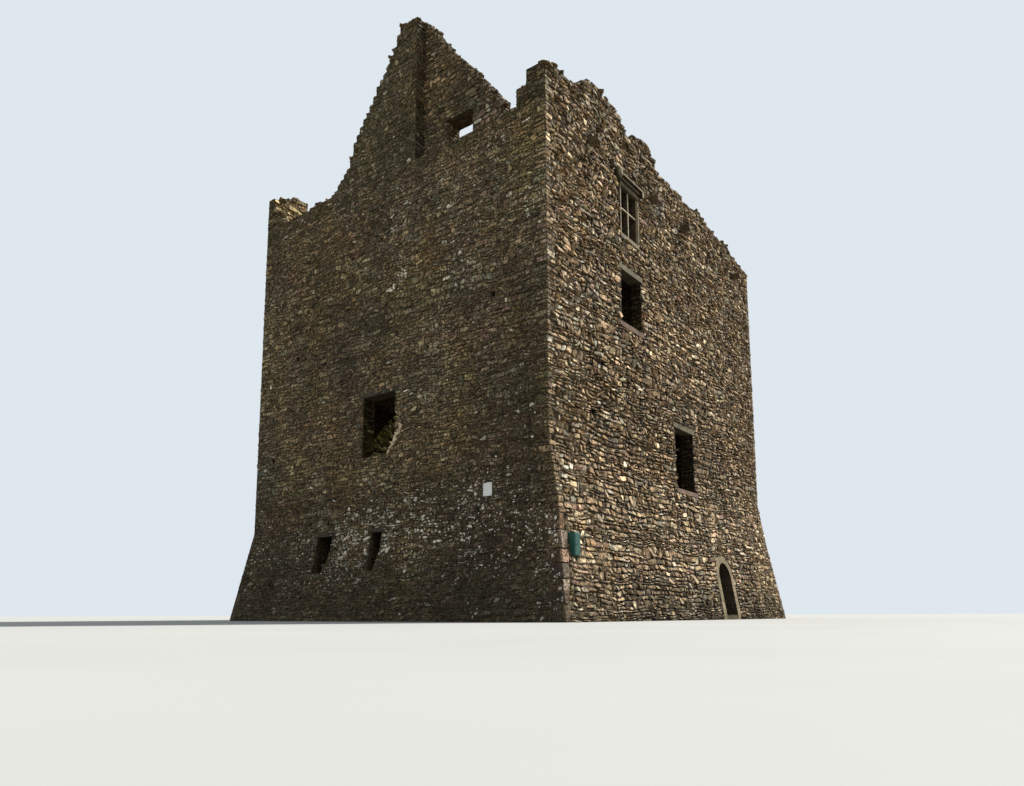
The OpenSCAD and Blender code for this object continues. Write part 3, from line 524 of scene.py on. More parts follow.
# Quoins at the four corners
class Corner:
    """A corner of the tower, built of blocks that show on two faces: large upright ones up to a level."""

    def __init__(self, face_y, face_x, top, upright, thin_above=99.0):
        self.fy = face_y
        self.fx = face_x
        self.levels = [0.0]
        self.on_y = []
        self.on_x = []
        long = bool(rng.random() < 0.5)
        z = 0.0
        while z < top - 0.12:
            if z < upright:
                rise = 0.26 + 0.3 * rng.random()
                a, b = 0.24 + 0.18 * rng.random(), 0.18 + 0.16 * rng.random()
            else:
                rise = 0.075 + 0.13 * rng.random() ** 1.5
                a, b = 0.2 + 0.24 * rng.random(), 0.1 + 0.13 * rng.random()
                if not long:
                    a, b = b, a
            z += min(rise, top - z)
            if z > thin_above:
                a = min(a, 0.26)
            long = not long
            self.levels.append(z)
            self.on_y.append(a)
            self.on_x.append(b)

    def length(self, v, table):
        i = np.searchsorted(self.levels, v) - 1
        ok = (i >= 0) & (i < len(table))
        return np.where(ok, np.array(table)[i.clip(0, len(table) - 1)], 0.0)

    def arris(self, z):
        """X and y of the corner's edge."""
        return (self.fx.origin[0] + self.fx.out[0] * batter_run(z, self.fx.batter),
                self.fy.origin[1] + self.fy.out[1] * batter_run(z, self.fy.batter))

    def covers(self, face):
        """A test for points of one of the two faces: whether they lie on a quoin."""
        i, table = (0, self.on_y) if face is self.fy else (1, self.on_x)
        return lambda u, v: np.abs(u * face.along[i] - self.arris(v)[i]) < self.length(v, table) + 0.004

    def point(self, w, z, h):
        """A point h out of the wall. W runs from minus on the face across x to plus on the one across y."""
        x, y = self.arris(z)
        if w > 0:
            return x - self.fx.out[0] * w, y + self.fy.out[1] * h, z
        return x + self.fx.out[0] * h, y + self.fy.out[1] * w, z

    def block(self, i):
        """Points of one quoin in rows, their places from one face to the other, and each point's light."""
        gap = 0.005
        z0, z1 = self.levels[i] + gap, self.levels[i + 1] - gap
        h = 0.006 + 0.022 * rng.random()
        worn = 0.012 + 0.026 * rng.random()
        rim_width = 0.016
        a, b = self.on_y[i], self.on_x[i]
        across = [-b + 0.006, -b + rim_width, -b / 2, -worn, worn, a / 2, a - rim_width, a - 0.006]
        rows = [z0, z0 + rim_width, (z0 + z1) / 2, z1 - rim_width, z1]
        co, light = [], []
        for r, z in enumerate(rows):
            bed = r in (0, len(rows) - 1)
            for k, w in enumerate(across):
                end = k in (0, len(across) - 1)
                jog = 0.0 if bed or end else 0.007 * rng.standard_normal()
                lift = -0.012 if bed or end else max(h + jog, 0.002)
                if bed and k in (3, 4):
                    lift = -0.004
                if bed and end:
                    w *= 0.82 + 0.12 * rng.random()
                    z += (0.012 if r == 0 else -0.012) * rng.random()
                co.append(self.point(w + (0 if abs(w) <= worn else 0.006 * rng.standard_normal()), z, lift))
                light.append(0.35 if bed or end else 0.9)
        return co, across, light

    def build(self, name, y_look, x_look):
        """Each look is a colour and a cover, for the face across y and the one across x."""
        co, tri, col, cov, light = [], [], [], [], []
        flip = self.fx.out[0] * self.fy.out[1] > 0
        for i in range(len(self.on_y)):
            points, across, lit = self.block(i)
            wide = len(across)
            for p in range(len(co), len(co) + len(points) - wide):
                if (p - len(co)) % wide < wide - 1:
                    quad = [p, p + 1, p + 1 + wide, p + wide]
                    if not flip:
                        quad.reverse()
                    tri += [quad[:3], [quad[0], quad[2], quad[3]]]
            co += points
            light += lit
            mid = np.array(points).mean(0)[None]
            on_y = np.tile(np.array(across) > 0, len(points) // wide)[:, None]
            red = [0.88, 0.8, 0.84] if self.levels[i + 1] - self.levels[i] > 0.24 else 1.0
            # Each face of a block takes its wall's colours, so on the right face the block has painted
            # sunlight and on the others not.
            col.append(np.where(on_y, y_look[0](mid, 0.04), x_look[0](mid, 0.03)) * red)
            cov.append(np.where(on_y, y_look[1](mid), x_look[1](mid)))
        return make_mesh(name, np.array(co), np.array(tri), np.concatenate(col), np.concatenate(cov), light)


near = Corner(FRONT, RIGHT, top=WALL_HEAD + 0.85, upright=2.2)
front_left = Corner(FRONT, LEFT, top=WALL_HEAD + 1.0, upright=0.9, thin_above=WALL_HEAD + 0.6)
back_right = Corner(BACK, RIGHT, top=WALL_HEAD + 0.5, upright=0.9)
back_left = Corner(BACK, LEFT, top=WALL_HEAD + 0.4, upright=0.9)

box_low, box_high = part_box("wall_box")


def behind_box(y, z, room=0.015):
    """Whether a point of the right face lies behind the wall box."""
    beside = (y > box_low.y - room) & (y < box_high.y + room)
    return beside & (z > box_low.z - room) & (z < box_high.z + room)


# Cladding of the outer faces
FRONT_STONES = dict(length=0.162, height=0.094, proud=(0.002, 0.026), joint=0.01, big=0.14, pins=0.14,
                    wave=0.35, lean=0.5, warp=0.03, spread=0.34, tilt=2.0, jag=0.006)
RIGHT_STONES = dict(length=0.18, height=0.108, proud=(0.004, 0.055), joint=0.024, big=0.16, pins=0.12,
                    wave=0.3, lean=0.45, warp=0.03, spread=0.34, tilt=3.0, rough=0.9, jag=0.01)
FAR_STONES = dict(proud=(0.006, 0.04), joint=0.018, warp=0.025, tilt=2.0, lean=0.3, spread=0.3, rough=0.8)

# How far the courses run on past the corners, where they are trimmed, and to what height each wall has them
PAST, PAST_RIGHT = 0.5, 0.8
RIGHT_TOP, BACK_TOP, LEFT_TOP = 16.2, 18.6, 16.0

front = clad(FRONT, FACE_LEFT - PAST, FACE_RIGHT + PAST_RIGHT, 0, TOP, **FRONT_STONES,
             blocked=(near.covers(FRONT), front_left.covers(FRONT)))
right = clad(RIGHT, FACE_FRONT - PAST, FACE_BACK + PAST, 0, RIGHT_TOP, **RIGHT_STONES,
             blocked=(near.covers(RIGHT), back_right.covers(RIGHT), behind_box))
back = clad(BACK, -FACE_RIGHT - PAST_RIGHT, -FACE_LEFT + PAST, 0, BACK_TOP, **FAR_STONES,
            length=0.31, height=0.143, blocked=(back_right.covers(BACK), back_left.covers(BACK)))
left = clad(LEFT, -FACE_BACK - PAST, -FACE_FRONT + PAST, 0, LEFT_TOP, **FAR_STONES,
            length=0.34, height=0.154, blocked=(front_left.covers(LEFT), back_left.covers(LEFT)))

front_look = (cool, front_cover)
right_look = (warm_quoins, right_cover)
plain_look = (plain, plain_cover)
pieces = {}
for side, part, look, form in (("front", front, front_look, dict(joint=0.75)),
                               ("right", right, (warm, right_cover), dict(inset=0.016, domed=True)),
                               ("back", back, plain_look, {}), ("left", left, plain_look, {})):
    for tag, half in zip(("lower", "upper"), split_at(part, FACE_SPLIT)):
        pieces[side + "_" + tag] = stone_mesh(side + "_stones_" + tag, [half], *look, **form)
for name, corner, y_look, x_look in (("near_quoins", near, front_look, right_look),
                                     ("front_left_quoins", front_left, front_look, plain_look),
                                     ("back_right_quoins", back_right, plain_look, right_look),
                                     ("back_left_quoins", back_left, plain_look, plain_look)):
    pieces[name] = corner.build(name, y_look, x_look)


# Cladding of all other flat faces
def on_facade(p, n):
    """Whether a point with this normal is on an outer face of the tower."""
    for f in (FRONT, RIGHT, BACK, LEFT):
        run = batter_run(p.z, f.batter)
        if n.dot(f.normal) > 0.9 and abs((np.array(p) - f.origin) @ f.out - run) < 0.01:
            return True
    return False


def flat_faces(names, least):
    """Upright faces of CAD nodes that are no outer face: {normal and distance: (area, corner points)}."""
    found = {}
    for name in sorted(names):
        me = nodes[name].data
        for poly in me.polygons:
            n = poly.normal
            if abs(n.z) > 0.5 or on_facade(poly.center, n):
                continue
            key = (round(n.x, 2), round(n.y, 2), round(n.z, 2), round(poly.center.dot(n), 2))
            area, points = found.get(key, (0.0, []))
            found[key] = (area + poly.area, points + [tuple(me.vertices[i].co) for i in poly.vertices])
    return {key: face for key, face in found.items() if face[0] > least}


HEAD_STONES = dict(length=0.2, height=0.115, corners=8, proud=(0.006, 0.035), tilt=1.5)
ROOM_STONES = dict(length=0.5, height=0.23, corners=6, proud=(0.006, 0.035), tilt=1.5)
REVEAL_STONES = dict(ROOM_STONES, length=0.3, height=0.15)
TORN_STONES = dict(ROOM_STONES, length=0.13, height=0.07, proud=(0.002, 0.012), tilt=0.6)
# Areas of the smallest faces that get stones, and of the largest ones that count as an opening's reveal
LEAST_HEAD, LEAST_ROOM = 0.12, 0.16
GROUND_REVEAL, UPPER_REVEAL = 1.2, 6

WALL_GROUPS = {
    "ground_room_stones": {n for n in nodes if n.endswith(("_base", "_base_front", "_base_back"))}
    | {"doorway_head", "barrel_vault"},
    "hall_stones": {n for n in nodes if n.endswith("wall_first")},
    "upper_room_stones": {n for n in nodes if n.endswith("wall_upper")},
    "wall_head_stones": BROKEN - {"front_gable_wing"},
    "gable_wing_stones": {"front_gable_wing"},
}
GROUP_LOOKS = {"wall_head_stones": head_look, "gable_wing_stones": cool}

reveals = []
for label, members in WALL_GROUPS.items():
    outside = label in GROUP_LOOKS
    reveal_area = GROUND_REVEAL if label.startswith("ground") else UPPER_REVEAL
    parts = []
    for key, (area, points) in flat_faces(members, LEAST_HEAD if outside else LEAST_ROOM).items():
        surface = Face(points[0], key[:3])
        u, v = surface.flat(np.array(points))
        is_reveal = area < reveal_area and not outside
        stones = HEAD_STONES if outside else REVEAL_STONES if is_reveal else ROOM_STONES
        if within(np.mean(points, 0), JAMB_BREAK):
            stones = TORN_STONES
        part = clad(surface, u.min() - 0.1, u.max() + 0.1, v.min(), v.max(), **stones, joint=0.016,
                    warp=0.015, lean=0.2)
        (reveals if is_reveal else parts).append(part)
    pieces[label] = stone_mesh(label, parts, GROUP_LOOKS.get(label, inner), plain_cover)
pieces["reveals"] = stone_mesh("opening_reveals", reveals, reveal, plain_cover)

# Flags of the floors and wall walks
FLAG_STONES = dict(length=0.62, height=0.42, proud=(0.006, 0.014), big=0.04, split=0.05, pins=0.03,
                   wave=0.03, tilt=0.15, spread=0.12)
parts = []
for name in ("first_floor", "left_wall_walk", "right_wall_walk"):
    a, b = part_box(name)
    surface = Face((0, 0, b.z), (0, 0, 1), backing=PAVING)
    u, v = surface.flat(np.array([tuple(a), tuple(b)]))
    parts.append(clad(surface, min(u), max(u), min(v), max(v), **FLAG_STONES))
pieces["flags"] = stone_mesh("paving_flags", parts, flags, plain_cover, "paving")

# Loose rubble on the broken wall heads
PHI = (1 + 5 ** 0.5) / 2
ICO = np.array([(-1, PHI, 0), (1, PHI, 0), (-1, -PHI, 0), (1, -PHI, 0), (0, -1, PHI), (0, 1, PHI),
                (0, -1, -PHI), (0, 1, -PHI), (PHI, 0, -1), (PHI, 0, 1), (-PHI, 0, -1), (-PHI, 0, 1)])
ICO = ICO / math.hypot(1, PHI)
ICO_FACES = np.array([(0, 11, 5), (0, 5, 1), (0, 1, 7), (0, 7, 10), (0, 10, 11), (1, 5, 9), (5, 11, 4),
                      (11, 10, 2), (10, 7, 6), (7, 1, 8), (3, 9, 4), (3, 4, 2), (3, 2, 6), (3, 6, 8),
                      (3, 8, 9), (4, 9, 5), (2, 4, 11), (6, 2, 10), (8, 6, 7), (9, 8, 1)])


def lumps(name, spots, size, colour, cover):
    """Broken stones, each an uneven angular block, bedded at the given spots."""
    n = len(spots)
    scale = np.stack([0.7 + 0.7 * rng.random(n), 0.5 + 0.5 * rng.random(n), 0.34 + 0.3 * rng.random(n)], 1)
    scale *= (size * np.exp(0.25 * rng.standard_normal(n)).clip(0.6, 1.5))[:, None]
    ball = np.sign(ICO) * np.abs(ICO) ** 0.8
    co = ball[None] * scale[:, None] * (1 + 0.13 * rng.standard_normal((n, 12, 3)))
    turn = rng.random(n)[:, None] * 2 * math.pi
    tip = 0.22 * rng.standard_normal(n)[:, None]
    x = co[..., 0] * np.cos(turn) - co[..., 1] * np.sin(turn)
    y = co[..., 0] * np.sin(turn) + co[..., 1] * np.cos(turn)
    z = co[..., 2] * np.cos(tip) + x * np.sin(tip)
    co = np.stack([x, y, z], 2) + spots[:, None]
    tri = (ICO_FACES[None] + (np.arange(n) * 12)[:, None, None]).reshape(-1, 3)
    return make_mesh(name, co.reshape(-1, 3), tri, np.repeat(colour(spots), 12, 0),
                     np.repeat(cover(spots), 12, 0), 0.9)


def lump_size(name, centre):
    """Small on the gable's raking edges, larger on the parapets."""
    if name == "front_gable_stack" and centre.x < -0.2:
        return 0.075
    return 0.085 if name == "front_gable_wing" else 0.11


def loose_spots(sunk=0.02):
    """Spots for loose stones on the broken steps of the wall heads, and their sizes."""
    spots, sizes = [], []
    for name in sorted(BROKEN):
        me = nodes[name].data
        me.calc_loop_triangles()
        for t in me.loop_triangles:
            n = t.normal
            corners = np.array([me.vertices[i].co for i in t.vertices])
            centre = Vector(corners.mean(0))
            if n.z < 0.5 and (t.area > 0.12 or n.z < -0.5 or on_facade(centre, n)):
                continue
            size = lump_size(name, centre)
            want = t.area / (5 * size * size if n.z < 0.5 else 2.2 * size * size)
            for _ in range(int(want) + (rng.random() < want % 1)):
                r, s = rng.random(), rng.random()
                if r + s > 1:
                    r, s = 1 - r, 1 - s
                p = corners[0] + (corners[1] - corners[0]) * r + (corners[2] - corners[0]) * s
                hit, back_n, _, _ = tree.ray_cast(Vector(p) + n * 0.02, n, FAR)
                if hit is None or back_n.dot(n) <= 0:
                    spots.append(p - np.array(n) * sunk)
                    sizes.append(size)
    spots = np.array(spots)
    spots[:, 0] = spots[:, 0].clip(FACE_LEFT + 0.06, FACE_RIGHT - 0.06)
    spots[:, 1] = spots[:, 1].clip(FACE_FRONT + 0.06, FACE_BACK - 0.06)
    return spots, np.array(sizes)


pieces["lumps"] = lumps("broken_heads", *loose_spots(), crown, plain_cover)

# Stones along the broken jamb of the front window, painted near white: pale torn stone with painted
# sunlight on it. The tear is given as x and z along it
TEAR = np.array([(0.2, 4.82), (0.34, 4.97), (0.47, 5.18), (0.63, 5.39), (0.77, 5.62)])
TEAR_STONES = 230
TEAR_HALF_WIDTH = 0.085
TEAR_FOOT, TEAR_RISE = 4.78, 0.9
TORN_SIZE = 0.037
z = TEAR[0, 1] + (TEAR[-1, 1] - TEAR[0, 1]) * rng.random(TEAR_STONES)
aside = TEAR_HALF_WIDTH * rng.uniform(-1, 1, TEAR_STONES) * np.sin(np.pi * (z - TEAR_FOOT) / TEAR_RISE)
x = np.interp(z, TEAR[:, 1], TEAR[:, 0]) + aside
y = FACE_FRONT + 0.004 + 0.1 * rng.random(TEAR_STONES) ** 3
pieces["torn"] = lumps("torn_jamb_stones", np.stack([x, y, z], 1), TORN_SIZE, sun_painted_pale, bare)


# Dressed stone, cut into blocks
def cut_block(source, planes=(), gap=0.002, round_off=0.008):
    """Part of a CAD node's mesh between planes given as (point, outward normal), with worn edges."""
    bm = bmesh.new()
    bm.from_mesh(source.data)
    bmesh.ops.remove_doubles(bm, verts=bm.verts[:], dist=1e-5)
    bmesh.ops.dissolve_limit(bm, angle_limit=0.02, verts=bm.verts[:], edges=bm.edges[:])
    for point, normal in planes:
        normal = Vector(normal).normalized()
        got = bmesh.ops.bisect_plane(bm, geom=bm.verts[:] + bm.edges[:] + bm.faces[:], dist=1e-5,
                                     plane_co=Vector(point) - normal * gap, plane_no=normal,
                                     clear_outer=True)
        rim = [e for e in got["geom_cut"] if isinstance(e, bmesh.types.BMEdge) and e.is_valid]
        if rim:
            bmesh.ops.edgenet_fill(bm, edges=rim)
    bmesh.ops.recalc_face_normals(bm, faces=bm.faces[:])
    sharp = [e for e in bm.edges if len(e.link_faces) == 2 and e.calc_face_angle() > 0.5]
    bmesh.ops.bevel(bm, geom=sharp, offset=round_off, segments=2, affect="EDGES", profile=0.6,
                    clamp_overlap=True)
    bmesh.ops.triangulate(bm, faces=bm.faces[:])
    return bm


def join_blocks(name, source_names, blocks):
    """One piece from blocks, in the place of the CAD nodes that it replaces."""
    me = bpy.data.meshes.new(name)
    whole = bmesh.new()
    for bm in blocks:
        part = bpy.data.meshes.new("part")
        bm.to_mesh(part)
        whole.from_mesh(part)
        bm.free()
        bpy.data.meshes.remove(part)
    whole.to_mesh(me)
    whole.free()
    for p in me.polygons:
        p.use_smooth = False
    return add_piece(name, me, source_names)


def between(source, cuts, extra=()):
    """Blocks of a node between level cuts."""
    return [cut_block(source, [((0, 0, b), (0, 0, 1)), ((0, 0, a), (0, 0, -1)), *extra])
            for a, b in zip(cuts[:-1], cuts[1:])]


def window_blocks(name, low, high, jambs):
    """A window frame as a sill below low, a head above high, and jamb stones between."""
    source = nodes[name]
    a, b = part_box(name)
    mid = (a.y + b.y) / 2
    out = [cut_block(source, [((0, 0, low), (0, 0, 1))]), cut_block(source, [((0, 0, high), (0, 0, -1))])]
    for side, shares in jambs.items():
        cuts = [low] + [low + (high - low) * share for share in shares] + [high]
        out += between(source, cuts, [((0, mid, 0), (0, -side, 0))])
    return out


def doorway_blocks(spring, jambs, voussoirs=9):
    """The doorway's frame as jamb stones up to the springing and the stones of its arch."""
    source = nodes["doorway_surround"]
    a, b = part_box("doorway_surround")
    mid = (a.y + b.y) / 2
    out = []
    for side, cuts in jambs.items():
        out += between(source, [-0.01, *cuts, spring], [((0, mid, 0), (0, -side, 0))])
    centre = (0, mid, spring)
    for i in range(voussoirs):
        low, high = math.pi * i / voussoirs, math.pi * (i + 1) / voussoirs
        joints = [(0, math.sin(low), -math.cos(low)), (0, -math.sin(high), math.cos(high)), (0, 0, -1)]
        out.append(cut_block(source, [(centre, normal) for normal in joints]))
    return out


# Heights of the two-light window's sill and head, and of the doorway's springing
SILL_HEIGHT = 0.18
HEAD_HEIGHT = 0.23
DOOR_SPRING = 1.4
frame_low, frame_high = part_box("hooded_window_surround")
light_low, light_high = frame_low.z + SILL_HEIGHT, frame_high.z - HEAD_HEIGHT
dressed_pieces = {
    "window_frame": join_blocks("hooded_window_stones", ["hooded_window_surround"], window_blocks(
        "hooded_window_surround", light_low, light_high, {-1: (0.22, 0.5, 0.8), 1: (0.3, 0.56, 0.78)})),
    "mullion": join_blocks("mullion_stones", ["hooded_window_mullion"],
                           [cut_block(nodes["hooded_window_mullion"])]),
    "transom": join_blocks("transom_stone", ["hooded_window_transom"],
                           [cut_block(nodes["hooded_window_transom"])]),
    "doorway": join_blocks("doorway_stones", ["doorway_surround"], doorway_blocks(
        DOOR_SPRING, {-1: (0.3, 0.62, 0.95, 1.18), 1: (0.38, 0.6, 0.9, 1.15)})),
}


# Rolls, door, hinges and screws
def bar(a, b, radius, sides=8):
    """A round bar between two points, as a bmesh."""
    bm = bmesh.new()
    a, b = Vector(a), Vector(b)
    turn = Vector((0, 0, 1)).rotation_difference(b - a).to_matrix().to_4x4()
    bmesh.ops.create_cone(bm, cap_ends=True, segments=sides, radius1=radius, radius2=radius,
                          depth=(b - a).length, matrix=Matrix.Translation((a + b) / 2) @ turn)
    rim = [e for e in bm.edges if len(e.link_faces) == 2 and e.calc_face_angle() > 1.2]
    bmesh.ops.bevel(bm, geom=rim, offset=radius * 0.2, segments=1, affect="EDGES")
    return bm


def panel(a, b, round_off):
    """A block between two corners, with rounded edges, as a bmesh."""
    bm = bmesh.new()
    a, b = Vector(a), Vector(b)
    size = Matrix.Diagonal((*(b - a), 1))
    bmesh.ops.create_cube(bm, size=1, matrix=Matrix.Translation((a + b) / 2) @ size)
    bmesh.ops.bevel(bm, geom=bm.edges[:], offset=round_off, segments=3, affect="EDGES", profile=0.5)
    return bm


def head_rolls(rolls=((0.035, 0.011), (0.08, 0.009), (0.118, 0.009))):
    """Small rolls along the two-light window's head, given as height above the lights and radius."""
    x, y0, y1 = frame_high.x + 0.001, frame_low.y + 0.04, frame_high.y - 0.04
    return [bar((x, y0, light_high + z), (x, y1, light_high + z), r) for z, r in rolls]


def box_door(a, b):
    """Door of the wall box between a and b, on a thin rim, with two hinges."""
    x, y = b.x + 0.004, b.y - 0.022
    door = panel((b.x - 0.012, a.y + 0.03, a.z + 0.03), (b.x + 0.006, b.y - 0.03, b.z - 0.03), 0.006)
    rim = panel((b.x - 0.01, a.y + 0.014, a.z + 0.014), (b.x + 0.002, b.y - 0.014, b.z - 0.014), 0.004)
    return [door, rim] + [bar((x, y, z), (x, y, z + 0.06), 0.008) for z in (a.z + 0.09, b.z - 0.15)]


def box_latch(a, b):
    y, z = a.y + 0.06, (a.z + b.z) / 2
    return [bar((b.x, y, z), (b.x + 0.02, y, z), 0.014, 12),
            panel((b.x + 0.008, y - 0.007, z - 0.03), (b.x + 0.018, y + 0.007, z), 0.003)]


def plate_screws(a, b, inset=0.025):
    return [bar((x, a.y + 0.004, z), (x, a.y - 0.004, z), 0.008, 10)
            for x in (a.x + inset, b.x - inset) for z in (a.z + inset, b.z - inset)]


dressed_pieces["rolls"] = join_blocks("window_head_rolls", [], head_rolls())
fitting_pieces = {
    "box_door": join_blocks("wall_box_door", [], box_door(box_low, box_high)),
    "box_latch": join_blocks("wall_box_latch", [], box_latch(box_low, box_high)),
    "screws": join_blocks("notice_screws", [], plate_screws(*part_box("notice_plate"))),
}


# Materials
class NodeTree:
    """Short hand for building a node tree. A source is a (node, socket) pair, or a plain value."""

    def __init__(self, nt):
        self.nt = nt
        nt.nodes.clear()

    def add(self, kind, **settings):
        node = self.nt.nodes.new("ShaderNode" + kind)
        for key, value in settings.items():
            setattr(node, key, value)
        return node

    def put(self, node, **values):
        for key, value in values.items():
            self.feed(node.inputs[key], value)
        return node

    def feed(self, socket, value):
        if isinstance(value, tuple) and len(value) == 2:
            self.nt.links.new(value[0].outputs[value[1]], socket)
        elif socket.type == "RGBA" and np.size(value) == 3:
            socket.default_value = (*value, 1)
        else:
            socket.default_value = value

    def math(self, op, *values, clamp=False):
        m = self.add("Math", operation=op, use_clamp=clamp)
        for socket, value in zip(m.inputs, values):
            self.feed(socket, value)
        return m, 0

    def mix(self, fac, a, b, blend="MIX"):
        m = self.add("Mix", data_type="RGBA", blend_type=blend)
        for index, value in ((0, fac), (6, a), (7, b)):
            self.feed(m.inputs[index], value)
        return m, 2

    def seen(self):
        """1 for what the eye meets, by itself or in a mirror, and 0 for light on other things."""
        path = self.add("LightPath")
        return self.math("MAXIMUM", (path, "Is Camera Ray"), (path, "Is Glossy Ray"))


class Material(NodeTree):
    """A material with one shader, textured in the object's own coordinates."""

    def __init__(self, name):
        self.mat = bpy.data.materials.new(name)
        self.mat.use_nodes = True
        super().__init__(self.mat.node_tree)
        self.bsdf = self.add("BsdfPrincipled")
        self.put(self.add("OutputMaterial"), Surface=(self.bsdf, "BSDF"))
        self.place = (self.add("TexCoord"), "Object")

    def stretched(self, stretch):
        return self.put(self.add("Mapping"), Scale=stretch, Vector=self.place), "Vector"

    def noise(self, scale, detail, rough, stretch=None):
        place = self.stretched(stretch) if stretch else self.place
        node = self.add("TexNoise")
        return self.put(node, Scale=scale, Detail=detail, Roughness=rough, Vector=place)

    def ramp(self, source, stops):
        """Colours by a source's value, each stop a place and a grey."""
        r = self.put(self.add("ValToRGB"), Fac=source)
        e = r.color_ramp.elements
        while len(e) < len(stops):
            e.new(0.5)
        for el, (place, grey) in zip(e, stops):
            el.position = place
            el.color = (grey, grey, grey, 1)
        return r, "Color"

    def shade(self, c, source, stops, share=1.0):
        """A colour times a ramp."""
        return self.mix(share, c, self.ramp(source, stops), "MULTIPLY")

    def channels(self, source):
        return self.put(self.add("SeparateColor"), Color=source)

    def specks(self, scale, ragged, amount):
        """Uneven round spots, more of them and larger ones where there is a larger amount."""
        place = self.mix(ragged, self.place, (self.noise(38, 4, 0.7), "Color"), "ADD")
        cells = self.add("TexVoronoi", feature="F1")
        self.put(cells, Scale=scale, Randomness=1.0, Vector=place)
        tone = self.channels((cells, "Color"))
        grown = self.math("MULTIPLY", self.math("SUBTRACT", amount, (tone, "Red")), 5.0, clamp=True)
        size = self.math("MULTIPLY", grown, self.math("MULTIPLY_ADD", (tone, "Green"), 0.25, 0.33))
        return self.ramp(self.math("SUBTRACT", size, (cells, "Distance")), [(0.0, 0.0), (0.06, 0.92)])

    def bump(self, height, strength, distance, under=None):
        b = self.put(self.add("Bump"), Strength=strength, Distance=distance, Height=height)
        if under:
            self.put(b, Normal=under)
        return b, "Normal"

    def finish(self, colour, rough, gloss, normal):
        self.put(self.bsdf, **{"Base Color": colour, "Roughness": rough, "Specular IOR Level": gloss,
                               "Normal": normal})
        return self.mat


MOSS = (0.05, 0.048, 0.02)
CRUST = (0.72, 0.7, 0.6)
DAMP = (0.03, 0.027, 0.018)
OLD_CRUST = (0.3, 0.29, 0.24)


def stone_material(name, size, low, high, joint, gloss=0.2):
    """Weathered rubble: colour from each stone, mottled between low and high in spots of the given size,
    with lichen, moss and damp where they grow. Joint is the light in the joints."""
    m = Material(name)
    stone = m.add("Attribute", attribute_name="stone")
    cover = m.channels((m.add("Attribute", attribute_name="cover"), "Color"))
    mottle = m.noise(1 / size, 6, 0.65)
    grain = (m.noise(60, 6, 0.7), "Fac")
    streak = (m.noise(1.5, 5, 0.62, (1, 1, 0.35)), "Fac")
    c = m.shade((stone, "Color"), (mottle, "Fac"), [(0.38, low), (0.5, 0.95), (0.62, high)])
    c = m.shade(c, grain, [(0.38, 0.4), (0.52, 1.0), (0.66, 1.6)], 0.8)
    c = m.shade(c, streak, [(0.32, 0.74), (0.5, 1.0), (0.7, 1.14)])
    c = m.mix(0.1, c, (mottle, "Color"), "OVERLAY")
    c = m.shade(c, (stone, "Alpha"), [(0.0, joint), (0.8, 0.82), (1.0, 1.0)])
    mossy = m.math("MULTIPLY_ADD", (cover, "Green"), 0.62, -0.12)
    mossy = m.math("ADD", (m.noise(3.1, 6, 0.7), "Fac"), mossy)
    c = m.mix(m.ramp(mossy, [(0.56, 0.0), (0.74, 0.7)]), c, MOSS)
    patch = m.ramp((m.noise(1.6, 5, 0.7), "Fac"), [(0.36, 0.2), (0.64, 1.8)])
    amount = m.math("MULTIPLY", (cover, "Red"), patch)
    crust = m.math("MAXIMUM", m.specks(16, 0.04, m.math("MULTIPLY", amount, 0.8)),
                   m.specks(7, 0.07, m.math("MULTIPLY", amount, 0.58)))
    c = m.mix(crust, c, CRUST)
    c = m.mix(m.math("MULTIPLY", (cover, "Blue"), 0.42), c, DAMP)
    normal = m.bump(grain, 0.9, 0.007, m.bump((mottle, "Fac"), 1.0, 0.022))
    return m.finish(c, m.ramp(grain, [(0.3, 0.8), (0.7, 0.98)]), gloss, m.bump(crust, 0.4, 0.002, normal))


def core_material(name, stones, mortar):
    """The wall behind the face stones: small rubble and pins bedded in lime mortar."""
    m = Material(name)
    place = m.stretched((11, 11, 21))
    cells = m.add("TexVoronoi", feature="F1")
    gap = m.add("TexVoronoi", feature="DISTANCE_TO_EDGE")
    for node in (cells, gap):
        m.put(node, Scale=1.0, Randomness=0.9, Vector=place)
    broad = (m.noise(1.2, 5, 0.6), "Fac")
    grit = (m.noise(90, 4, 0.7), "Fac")
    c = m.shade(stones, (m.channels((cells, "Color")), "Red"), [(0.0, 0.5), (0.5, 1.0), (1.0, 1.6)])
    joint = m.ramp((gap, "Distance"), [(0.03, 0.0), (0.11, 1.0)])
    c = m.mix(joint, mortar, c)
    c = m.shade(c, broad, [(0.3, 0.7), (0.7, 1.2)])
    c = m.shade(c, grit, [(0.35, 0.5), (0.7, 1.4)], 0.6)
    return m.finish(c, 0.94, 0.2, m.bump(grit, 0.7, 0.008, m.bump(joint, 1.0, 0.02)))


